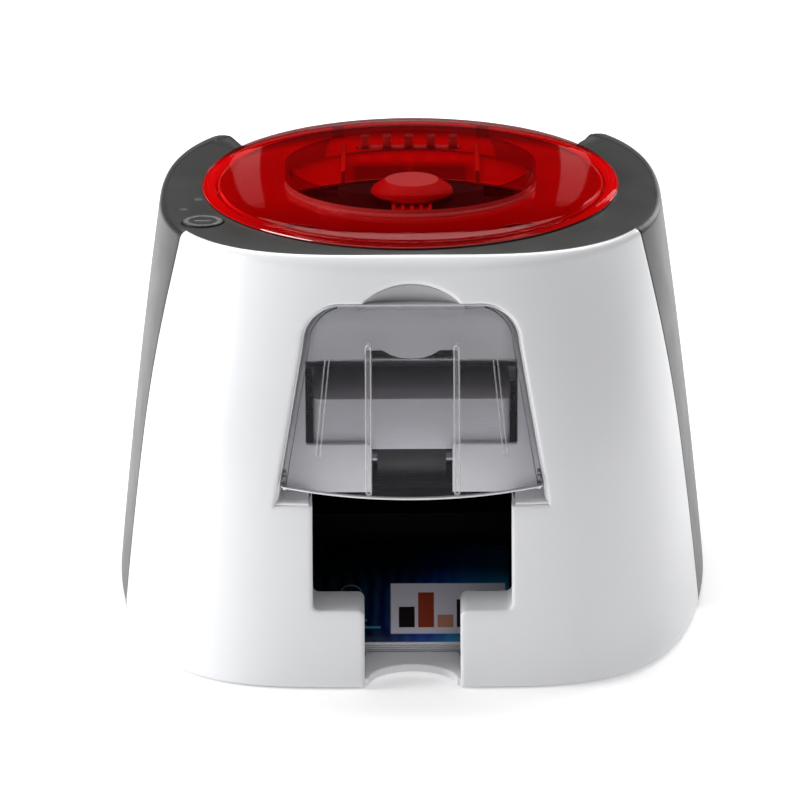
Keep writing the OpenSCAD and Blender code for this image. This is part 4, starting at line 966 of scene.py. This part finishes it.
def plate_piece():
    """Frame under the lid: a disc with two windows and a tongue to the rear."""
    z = LID_RIM_Z - 3.2
    rims = [rim(ccw(ellipse(0, LID_Y, DRUM_R - 1, DRUM_R - 1, 3.0)), 0.5, 2.4)]
    for x0, x1 in ((-46.0, -32.5), (32.5, 46.0)):
        window = spaced(rounded_rect(x0, x1, LID_Y - 18, LID_Y + 18, 1.5), 3.0)
        rims.append(rim(ccw(window, False), 0.5, 2.4))
    seeds = seed_grid(np.arange(-52, 53, 5.0), np.arange(-97, 8, 5.0))
    parts = Parts().add(*skin(level(z + 2.4), rims, seeds, 2.4))
    parts.box((-40, 2, z), (40, 30, z + 2.4), 0.5)
    return parts.object("lid_frame_plate")


# ---- Materials ----


class Nodes:
    """A node tree, built from a few kinds of node."""

    def __init__(self, tree):
        self.tree = tree

    def feed(self, socket, value):
        """Sets a socket to a number or colour, or links it to an output."""
        if isinstance(value, tuple):
            socket.default_value = (*value, 1.0)
        elif isinstance(value, (float, int)):
            socket.default_value = value
        else:
            self.tree.links.new(value, socket)

    def node(self, kind, **inputs):
        n = self.tree.nodes.new(kind)
        for key, value in inputs.items():
            n.inputs[key.replace("_", " ")].default_value = value
        return n

    def split(self, vector):
        n = self.node("ShaderNodeSeparateXYZ")
        self.feed(n.inputs[0], vector)
        return n.outputs

    def spread(self, fac, low, high, start=0.3, end=0.7):
        n = self.node("ShaderNodeMapRange", From_Min=start, From_Max=end, To_Min=low, To_Max=high)
        self.feed(n.inputs["Value"], fac)
        return n.outputs[0]

    def ramp(self, fac, *stops):
        n = self.node("ShaderNodeValToRGB")
        while len(n.color_ramp.elements) < len(stops):
            n.color_ramp.elements.new(0.5)
        for e, (at, color) in zip(n.color_ramp.elements, stops):
            e.position = at
            e.color = (*color, 1.0)
        self.feed(n.inputs["Fac"], fac)
        return n.outputs["Color"]

    def mix(self, fac, a, b):
        n = self.node("ShaderNodeMix")
        n.data_type = "RGBA"
        for i, value in ((0, fac), (6, a), (7, b)):
            self.feed(n.inputs[i], value)
        return n.outputs[2]

    def math(self, op, *values, clamp=False):
        n = self.node("ShaderNodeMath")
        n.operation = op
        n.use_clamp = clamp
        for socket, value in zip(n.inputs, values):
            self.feed(socket, value)
        return n.outputs[0]

    def fold(self, op, first, *rest):
        for value in rest:
            first = self.math(op, first, value)
        return first

    def plus(self, *values):
        return self.fold("ADD", *values)

    def less(self, a, b):
        return self.math("SUBTRACT", a, b)

    def times(self, *values):
        return self.fold("MULTIPLY", *values)

    def most(self, *values):
        return self.fold("MAXIMUM", *values)

    def band(self, value, low, high, soft=0.25):
        """1 where value lies between low and high, with soft ends."""
        return self.times(self.spread(value, 0.0, 1.0, low - soft, low + soft),
                          self.spread(value, 1.0, 0.0, high - soft, high + soft))

    def far(self, x, y):
        """The distance from the origin of x and y."""
        return self.math("SQRT", self.plus(self.math("POWER", x, 2.0), self.math("POWER", y, 2.0)))


class Finish(Nodes):
    """A material whose look varies in the object's own frame."""

    def __init__(self, name, **sockets):
        self.name = name
        self.mat = bpy.data.materials.new(name)
        self.mat.use_nodes = True
        super().__init__(self.mat.node_tree)
        self.tree.nodes.clear()
        self.out = self.node("ShaderNodeOutputMaterial")
        self.bsdf = self.node("ShaderNodeBsdfPrincipled", **sockets)
        self.feed(self.out.inputs[0], self.bsdf.outputs[0])
        self.coord = self.node("ShaderNodeTexCoord").outputs["Object"]

    def scaled(self, scale):
        n = self.node("ShaderNodeMapping", Scale=scale)
        self.feed(n.inputs["Vector"], self.coord)
        return n.outputs[0]

    def noise(self, scale, detail=2.0, stretch=None):
        n = self.node("ShaderNodeTexNoise", Scale=scale, Detail=detail, Roughness=0.5)
        self.feed(n.inputs["Vector"], self.scaled(stretch) if stretch else self.coord)
        return n.outputs["Fac"]

    def color(self, output):
        self.feed(self.bsdf.inputs["Base Color"], output)

    def rough(self, output):
        self.feed(self.bsdf.inputs["Roughness"], output)

    def bump(self, height, distance, strength=1.0):
        n = self.node("ShaderNodeBump", Strength=strength, Distance=distance)
        self.feed(n.inputs["Height"], height)
        self.feed(self.bsdf.inputs["Normal"], n.outputs[0])

    def surface(self, low, high, grain, depth, strength):
        """Uneven gloss and a fine grain."""
        self.rough(self.spread(self.noise(55.0, 3.0), low, high))
        self.bump(self.noise(grain, 1.0), depth, strength)
        return self

    def axes(self):
        """The object's own x, y and z in millimetres."""
        return self.split(self.scaled((1000, 1000, 1000)))

    def through(self, tint, share, gain, solid_where):
        """Lets part of the light straight through, tinted, and mirrors more of it at a slant."""
        clear = self.node("ShaderNodeBsdfTransparent", Color=(*tint, 1.0))
        fresnel = self.node("ShaderNodeFresnel", IOR=1.5)
        solid = self.math("ADD", self.times(fresnel.outputs[0], gain), share, clamp=True)
        mixer = self.node("ShaderNodeMixShader")
        for i, value in enumerate((self.most(solid, solid_where), clear.outputs[0], self.bsdf.outputs[0])):
            self.feed(mixer.inputs[i], value)
        self.feed(self.out.inputs[0], mixer.outputs[0])
        return self


def plastic(name, color, shade, rough=0.35, grain=2600.0, depth=0.00002, strength=0.25, **sockets):
    """Moulded plastic: a faint cloud of colour, uneven gloss and fine spark-eroded grain."""
    f = Finish(name, **sockets)
    f.color(f.ramp(f.noise(14.0, 3.0), (0.2, shade), (0.8, color)))
    f.rough(f.spread(f.noise(55.0, 3.0), rough * 0.9, rough * 1.1, 0.2, 0.8))
    f.bump(f.noise(grain, 1.0), depth, strength)
    return f


def metal(name, color, rough, stretch=(60, 900, 900)):
    """Drawn or rolled metal with fine lines along one direction."""
    f = Finish(name, Metallic=1.0)
    lines = f.noise(1.0, 2.0, stretch)
    f.color(f.mix(f.spread(lines, 0.0, 1.0), tuple(0.82 * c for c in color), color))
    f.rough(f.spread(lines, rough * 0.8, rough * 1.25))
    f.bump(lines, 0.00003, 0.3)
    return f


def rubber(name, color, rough=0.75):
    f = Finish(name)
    f.color(f.ramp(f.noise(90.0, 4.0), (0.3, color), (0.7, tuple(1.35 * c for c in color))))
    f.rough(f.spread(f.noise(300.0, 2.0), rough * 0.9, min(1.0, rough * 1.15)))
    f.bump(f.noise(1400.0, 2.0), 0.00005, 0.5)
    return f


def cloud(f, shade, color):
    """A faint cloud of colour."""
    return f.ramp(f.noise(14.0, 3.0), (0.35, shade), (0.65, color))


def pocket_liner():
    """Warm white liner, with painted shade where it turns in under the finger dish."""
    f = Finish("white_liner")
    # Painted shade: everything above 164 to 168 mm is grey, the pocket's roof and the finger dish.
    under = f.spread(f.axes()[2], 0.0, 1.0, 164.0, 168.0)
    f.color(f.mix(under, cloud(f, (0.83, 0.83, 0.855), (0.85, 0.85, 0.87)), (0.36, 0.36, 0.375)))
    return f.surface(0.32, 0.4, 1400.0, 0.00002, 0.12)


def button_print():
    """Grey printed ring on the power button, worn in places."""
    f = Finish("button_print")
    f.color(f.ramp(f.noise(900.0, 3.0), (0.40, (0.05, 0.05, 0.05)), (0.60, (0.17, 0.17, 0.165))))
    f.rough(f.spread(f.noise(300.0, 2.0), 0.4, 0.55))
    f.bump(f.noise(1400.0, 1.0), 0.00002, 0.3)
    return f


def latch_red():
    """Red moulding whose flat top is painted paler as a painted highlight."""
    f = Finish("red_inner")
    # Painted highlight: the knob's top is painted pale pink.
    top = f.spread(f.axes()[2], 0.0, 1.0, KNOB_Z + 8.85, KNOB_Z + 9.0)
    f.color(f.mix(top, cloud(f, (0.80, 0.004, 0.004), (0.9, 0.005, 0.006)), (0.92, 0.62, 0.60)))
    return f.surface(0.4, 0.55, 2600.0, 0.00002, 0.25)


def clear_smoke():
    """Nearly clear grey crown of the feeder cover, with painted highlights on its cut lower edge and ribs."""
    f = Finish("smoke_tint", Coat_Weight=0.4, Coat_Roughness=0.05)
    x, y, z = f.axes()
    u = f.math("DIVIDE", x, 58.0)
    low = f.times(f.less(1.0, f.times(u, u)), -COVER_SAG)
    above = f.less(f.less(z, low), COVER_LOW)
    edge = f.spread(above, 1.0, 0.0, 0.55, 0.95)
    side = f.math("ABSOLUTE", f.less(x, COVER_SHIFT))
    along = f.band(above, 0.8, 66.0, 0.3)
    proud = f.spread(f.less(cover_front(f, x, z), y), 0.0, 1.0, 0.12, 0.3)
    ribs = f.times(f.band(side, COVER_RIB_X - 2.3, COVER_RIB_X + 2.3, 0.1), along, proud)
    gap = f.times(f.band(side, COVER_RIB_X - 1.3, COVER_RIB_X + 1.3, 0.1), along)
    fine = f.times(f.band(side, 33.0, 44.0, 0.1), proud)
    # Painted highlights: the lower edge, the ribs, the gap between their ridges and the fine side ridges are
    # painted pale.
    base = f.mix(edge, cloud(f, (0.27, 0.27, 0.295), (0.30, 0.30, 0.325)), (0.86, 0.86, 0.88))
    f.color(f.mix(f.most(ribs, fine, gap), base, (0.80, 0.80, 0.82)))
    f.surface(0.09, 0.12, 500.0, 0.00001, 0.05)
    where = f.most(f.times(edge, 0.9), f.times(ribs, 0.4), f.times(fine, 0.3), f.times(gap, 0.16))
    return f.through((0.975, 0.975, 0.982), 0.03, 0.8, where)


def cover_front(f, x, z):
    """The depth of the cover's bare skin in millimetres, as nodes."""
    slope = (POCKET_HIGH - POCKET_LOW) / (POCKET_SHOULDER_Z - POCKET_Z)
    half = f.plus(f.times(f.math("MINIMUM", z, COVER_TOP - POCKET_CORNER), slope),
                  POCKET_LOW - COVER_GAP - slope * POCKET_Z)
    u = f.math("DIVIDE", x, half)
    uu = f.times(u, u)
    flat = f.less(1.0, uu)
    zb = f.plus(f.times(flat, -COVER_SAG), COVER_LOW)
    t = f.math("MULTIPLY", f.math("DIVIDE", f.less(z, zb), f.less(COVER_TOP, zb)), 1.6, clamp=True)
    rise = f.times(t, t, f.math("MULTIPLY_ADD", t, -2.0, 3.0))
    bulge = f.times(flat, -COVER_BULGE, f.less(1.0, rise))
    front = f.plus(f.times(z, z, FRONT_CROWN), f.times(z, FRONT_LEAN), 0.6 - BODY_D / 2)
    return f.plus(front, bulge, f.times(uu, 1.4))


def clear_red():
    """Clear red crown over a solid red floor, with a painted highlight on the bead and two frosted ribs."""
    f = Finish("red_tint", Coat_Weight=1.0, Coat_Roughness=0.03, Coat_IOR=1.8, Specular_IOR_Level=0.0)
    x, y, z = f.axes()
    from_axis = f.far(x, f.less(y, LID_Y))
    floor_level = f.spread(z, 1.0, 0.0, LID_FLOOR_Z + 0.15, LID_FLOOR_Z + 0.3)
    # Painted highlight: the bead at the drum's foot is painted pale pink.
    bead = f.times(f.band(from_axis, DRUM_R + 1.9, DRUM_R + 5.0, 0.05),
                   f.band(z, LID_FLOOR_Z + 0.05, LID_FLOOR_Z + 3.0, 0.05),
                   f.spread(y, 1.0, 0.0, LID_Y - 1.0, LID_Y + 1.0))
    across = f.math("ABSOLUTE", x)
    ribs = f.times(f.band(across, RIB_X - 1.2, RIB_X + 1.2, 0.05), f.band(y, RIB_Y - 0.8, 0.9, 0.2),
                   f.band(z, LID_FLOOR_Z + 0.1, LID_FLOOR_Z + 5.5, 0.05))
    # The floor is darker in front, and darkest between the ribs where the works show through
    solid = f.mix(f.noise(14.0, 3.0), (0.95, 0.0006, 0.004), (0.84, 0.0004, 0.003))
    solid = f.mix(f.spread(y, 1.0, 0.0, -140.0, -70.0), solid, (0.36, 0.0004, 0.002))
    deep = f.times(f.band(across, -1.0, 27.0, 3.0), f.band(y, -50.0, -14.0, 6.0), 0.75)
    base = f.mix(floor_level, (0.03, 0.0, 0.0004), f.mix(deep, solid, (0.10, 0.0, 0.0005)))
    f.color(f.mix(ribs, f.mix(bead, base, (0.97, 0.62, 0.60)), (0.95, 0.05, 0.04)))
    f.surface(0.05, 0.08, 500.0, 0.00001, 0.05)
    # Behind the middle the crown falls away from the front: less of a mirror, and less to see through it
    f.feed(f.bsdf.inputs["Coat Weight"], f.spread(y, 1.0, 0.12, -8.0, 14.0))
    gain = f.spread(y, 0.45, 0.8, -8.0, 14.0)
    return f.through((0.99, 0.60, 0.60), 0.01, gain, f.most(floor_level, bead, ribs))


def card_print():
    """White card with a made-up picture on the top card's face: deep blue to teal, pale panel, plain bars."""
    f = Finish("printed_card", Roughness=0.2)
    # Turned so that X runs across the card, Y up its face and Z out of it, in millimetres
    face = f.node("ShaderNodeMapping", Location=(0, CARD_FRONT[0] * MM, CARD_FRONT[1] * MM),
                  Rotation=(TILT, 0, 0), Scale=(MM, MM, MM))
    face.vector_type = "TEXTURE"
    clouds = f.node("ShaderNodeTexNoise", Scale=0.055, Detail=4.0, Roughness=0.55)
    wave = f.node("ShaderNodeTexWave", Scale=0.05, Distortion=5.0, Detail=1.0)
    f.feed(face.inputs["Vector"], f.coord)
    for n in (clouds, wave):
        f.feed(n.inputs[0], face.outputs[0])
    x, y, z = f.split(face.outputs[0])
    slant = f.plus(f.times(x, 0.0115), f.times(clouds.outputs["Fac"], 0.30), f.times(y, -0.004), 0.34)
    base = f.ramp(slant, (0.0, (0.002, 0.002, 0.006)), (0.30, (0.002, 0.004, 0.05)),
                  (0.52, (0.004, 0.035, 0.26)), (0.80, (0.006, 0.22, 0.42)), (1.0, (0.02, 0.38, 0.40)))
    base = f.mix(f.times(wave.outputs["Fac"], 0.05), base, (0.10, 0.45, 0.55))
    base = f.mix(f.spread(y, 0.0, 0.9, 26.0, 42.0), base, (0.0, 0.001, 0.002))
    # A pale panel with an upright bar chart, two plain rules and a ring
    base = f.mix(f.times(f.band(x, -9.5, 41.0), f.band(y, 5.0, 33.0)), base, (0.66, 0.64, 0.72))
    for x0, x1, y0, y1, tone in ((-6.0, 1.0, 8.5, 20.0, (0.012, 0.009, 0.010)),
                                 (2.5, 9.5, 8.5, 28.0, (0.30, 0.045, 0.02)),
                                 (11.0, 18.0, 8.5, 15.5, (0.50, 0.22, 0.15)),
                                 (19.5, 24.0, 8.5, 24.0, (0.02, 0.016, 0.02)),
                                 (-38.0, -14.0, 8.0, 9.2, (0.05, 0.26, 0.42)),
                                 (-38.0, -20.0, 12.0, 13.2, (0.04, 0.2, 0.36)),
                                 (28.0, 38.0, 9.0, 29.0, (0.03, 0.20, 0.28))):
        base = f.mix(f.times(f.band(x, x0, x1, 0.15), f.band(y, y0, y1, 0.15)), base, tone)
    ring = f.band(f.far(f.plus(x, 27.0), f.less(y, 27.5)), 4.2, 4.9, 0.2)
    base = f.mix(ring, base, (0.10, 0.13, 0.14))
    top = f.spread(z, 0.0, 1.0, PRINTED_COUNT * CARD_T - 0.3, PRINTED_COUNT * CARD_T - 0.2)
    f.color(f.mix(top, (0.74, 0.74, 0.76), base))
    f.bump(f.noise(700.0, 1.0), 0.00001, 0.1)
    return f


# Every finish by name; most names are the record's slots
finishes = {f.name: f.mat for f in (
    plastic("white_shell", (0.742, 0.747, 0.762), (0.739, 0.744, 0.759), 0.3, 900.0, 0.00001, 0.06,
            Coat_Weight=0.25, Coat_Roughness=0.12, Specular_IOR_Level=0.5),
    plastic("comb_frost", (0.95, 0.94, 0.94), (0.93, 0.92, 0.92), 0.5, 1400.0, 0.00002, 0.12,
            Subsurface_Weight=1.0, Subsurface_Scale=0.01),
    plastic("dark_shell", (0.026, 0.028, 0.026), (0.022, 0.024, 0.022), 0.38, 1700.0, 0.00006, 0.35,
            Specular_IOR_Level=0.35),
    plastic("dark_inner", (0.012, 0.012, 0.013), (0.008, 0.008, 0.009), 0.4, 1500.0, 0.00005, 0.3),
    plastic("black_gloss", (0.004, 0.004, 0.006), (0.003, 0.003, 0.004), 0.55, 1500.0, 0.00004, 0.2,
            Specular_IOR_Level=0.03),
    plastic("blank_card", (0.88, 0.87, 0.91), (0.86, 0.85, 0.89), 0.22, 1200.0, 0.00001, 0.1),
    plastic("motor", (0.03, 0.03, 0.032), (0.02, 0.02, 0.022), 0.35, 1200.0, 0.00003, 0.3),
    plastic("pulley", (0.62, 0.6, 0.54), (0.56, 0.54, 0.48), 0.45),
    plastic("gear", (0.66, 0.63, 0.55), (0.6, 0.57, 0.49), 0.42),
    plastic("ribbon", (0.02, 0.02, 0.10), (0.014, 0.014, 0.07), 0.2, 3000.0),
    plastic("ceramic", (0.7, 0.68, 0.62), (0.64, 0.62, 0.56), 0.2),
    plastic("board", (0.012, 0.12, 0.055), (0.008, 0.08, 0.04), 0.35, 900.0),
    plastic("light_guide", (0.10, 0.105, 0.105), (0.09, 0.095, 0.095), 0.3),
    metal("steel", (0.62, 0.63, 0.65), 0.3), metal("bronze", (0.55, 0.38, 0.18), 0.4, (700, 700, 700)),
    metal("heat_sink", (0.75, 0.76, 0.78), 0.35, (900, 60, 900)),
    rubber("rubber", (0.018, 0.018, 0.018)), rubber("roller_rubber", (0.03, 0.03, 0.032), 0.6),
    rubber("belt", (0.012, 0.012, 0.012), 0.65),
    pocket_liner(), button_print(), latch_red(), clear_red(), clear_smoke(), card_print())}

# ---- Pieces ----

for part in frame["record"]["subparts"]:
    nodes[part["node"]].data.materials.clear()
    nodes[part["node"]].data.materials.append(finishes[part["material_slot"]])

dress(front_piece(), "root", "white_shell", "front_cover", "output_bezel")
dress(rear_piece(), "root", "dark_shell", "rear_casing")
dress(deck_piece(), "root", "dark_shell", "top_frame")
dress(lid_piece(), "lid", "red_tint", "lid")
dress(button_ring(), "power_button", "light_guide", finish="button_print")
dress(cover_piece(), "feeder_cover", "smoke_tint", "feeder_cover")
dress(back_wall_piece(), "root", "white_liner", "feeder_bezel")
dress(tray_piece(), "root", "white_liner", "output_tray")
dress(card_stack("blank_card_stack", BLANK_COUNT, blank_place), "root", "blank_card", "blank_cards")
dress(card_stack("printed_card_stack", PRINTED_COUNT, printed_place), "root", "printed_card", "printed_cards")
dress(knob_piece(), "lid", "red_inner", "head_knob")
dress(comb_piece(), "lid", "white_liner", "guide_comb", finish="comb_frost")
dress(plate_piece(), "lid", "dark_inner", "lid_frame")

# ---- Stage ----

# The floor is a lit table, so that it stays white up to the printer's foot
FLOOR_GLOW = 0.3
EYE = (0.0, -3.0, 1.0149)
FOCAL_PX = 6872.6
PHOTO_PX = 800.0


def floor(w=30.0):
    mesh = bpy.data.meshes.new("floor")
    mesh.from_pydata([(-w, -w, 0), (w, -w, 0), (w, w, 0), (-w, w, 0)], [], [(0, 1, 2, 3)])
    paper = Finish("floor_paper", Roughness=0.9, Base_Color=(0.9, 0.9, 0.9, 1), Emission_Color=(1, 1, 1, 1),
                   Emission_Strength=FLOOR_GLOW)
    mesh.materials.append(paper.mat)
    obj = put("floor", mesh)
    obj.location.z = -0.0002


def area(name, place, aim, size, power, slant=0.0):
    light = bpy.data.lights.new(name, "AREA")
    light.shape = "RECTANGLE"
    light.size, light.size_y = size
    light.energy = power
    obj = put(name, light)
    obj.location = place
    turn = (Vector(aim) - Vector(place)).to_track_quat("-Z", "Y").to_matrix() @ Matrix.Rotation(slant, 3, "Z")
    obj.rotation_euler = turn.to_euler()


def world(front, back, top):
    """Plain room light: a grey level low in front, one high in front and one behind."""
    w = bpy.data.worlds.new("studio")
    w.use_nodes = True
    n = Nodes(w.node_tree)
    x, y, z = n.split(n.node("ShaderNodeTexCoord").outputs["Generated"])
    grey = n.mix(n.spread(z, 0.0, 1.0, 0.25, 0.7), front, top)
    n.feed(w.node_tree.nodes["Background"].inputs[0], n.mix(n.spread(y, 0.0, 1.0, -0.25, 0.25), grey, back))
    bpy.context.scene.world = w


def camera():
    """The photograph's view: 3 m away, looking down at 17.4 degrees through a long lens."""
    pitch, yaw, roll = radians(17.425), radians(0.1), radians(0.3)
    fwd = Vector((-sin(yaw) * cos(pitch), cos(yaw) * cos(pitch), -sin(pitch)))
    side = fwd.cross(Vector((0, 0, 1))).normalized()
    up = side.cross(fwd)
    right, top = cos(roll) * side - sin(roll) * up, sin(roll) * side + cos(roll) * up
    data = bpy.data.cameras.new("camera")
    data.sensor_width = 36.0
    data.lens = FOCAL_PX * data.sensor_width / PHOTO_PX
    data.clip_start, data.clip_end = 0.05, 60.0
    obj = put("camera", data)
    obj.matrix_world = Matrix.Translation(EYE) @ Matrix((right, top, -fwd)).transposed().to_4x4()
    bpy.context.scene.camera = obj


bpy.context.scene.view_settings.view_transform = "Standard"
floor()
world((0.05, 0.05, 0.055), (0.02, 0.02, 0.02), (0.75, 0.75, 0.76))
area("overhead", (0.0, 1.15, 2.2), (0, 0.1, 0), (3.2, 1.4), 72.0)
area("left_window", (-2.1, -0.4, 0.8), (0, -0.05, 0.1), (1.2, 1.2), 41.0)
area("right_edge", (1.2, 1.8, 0.7), (0, 0, 0.1), (0.5, 1.0), 9.0)
# Two narrow upright boxes that the lid mirrors at its sides
for name, side_x, slant in (("strip_left", -0.5, -0.22), ("strip_right", 0.5, 0.22)):
    area(name, (side_x, 3.0, 1.0), (0, -0.05, 0.19), (0.09, 1.4), 0.24, slant)
camera()
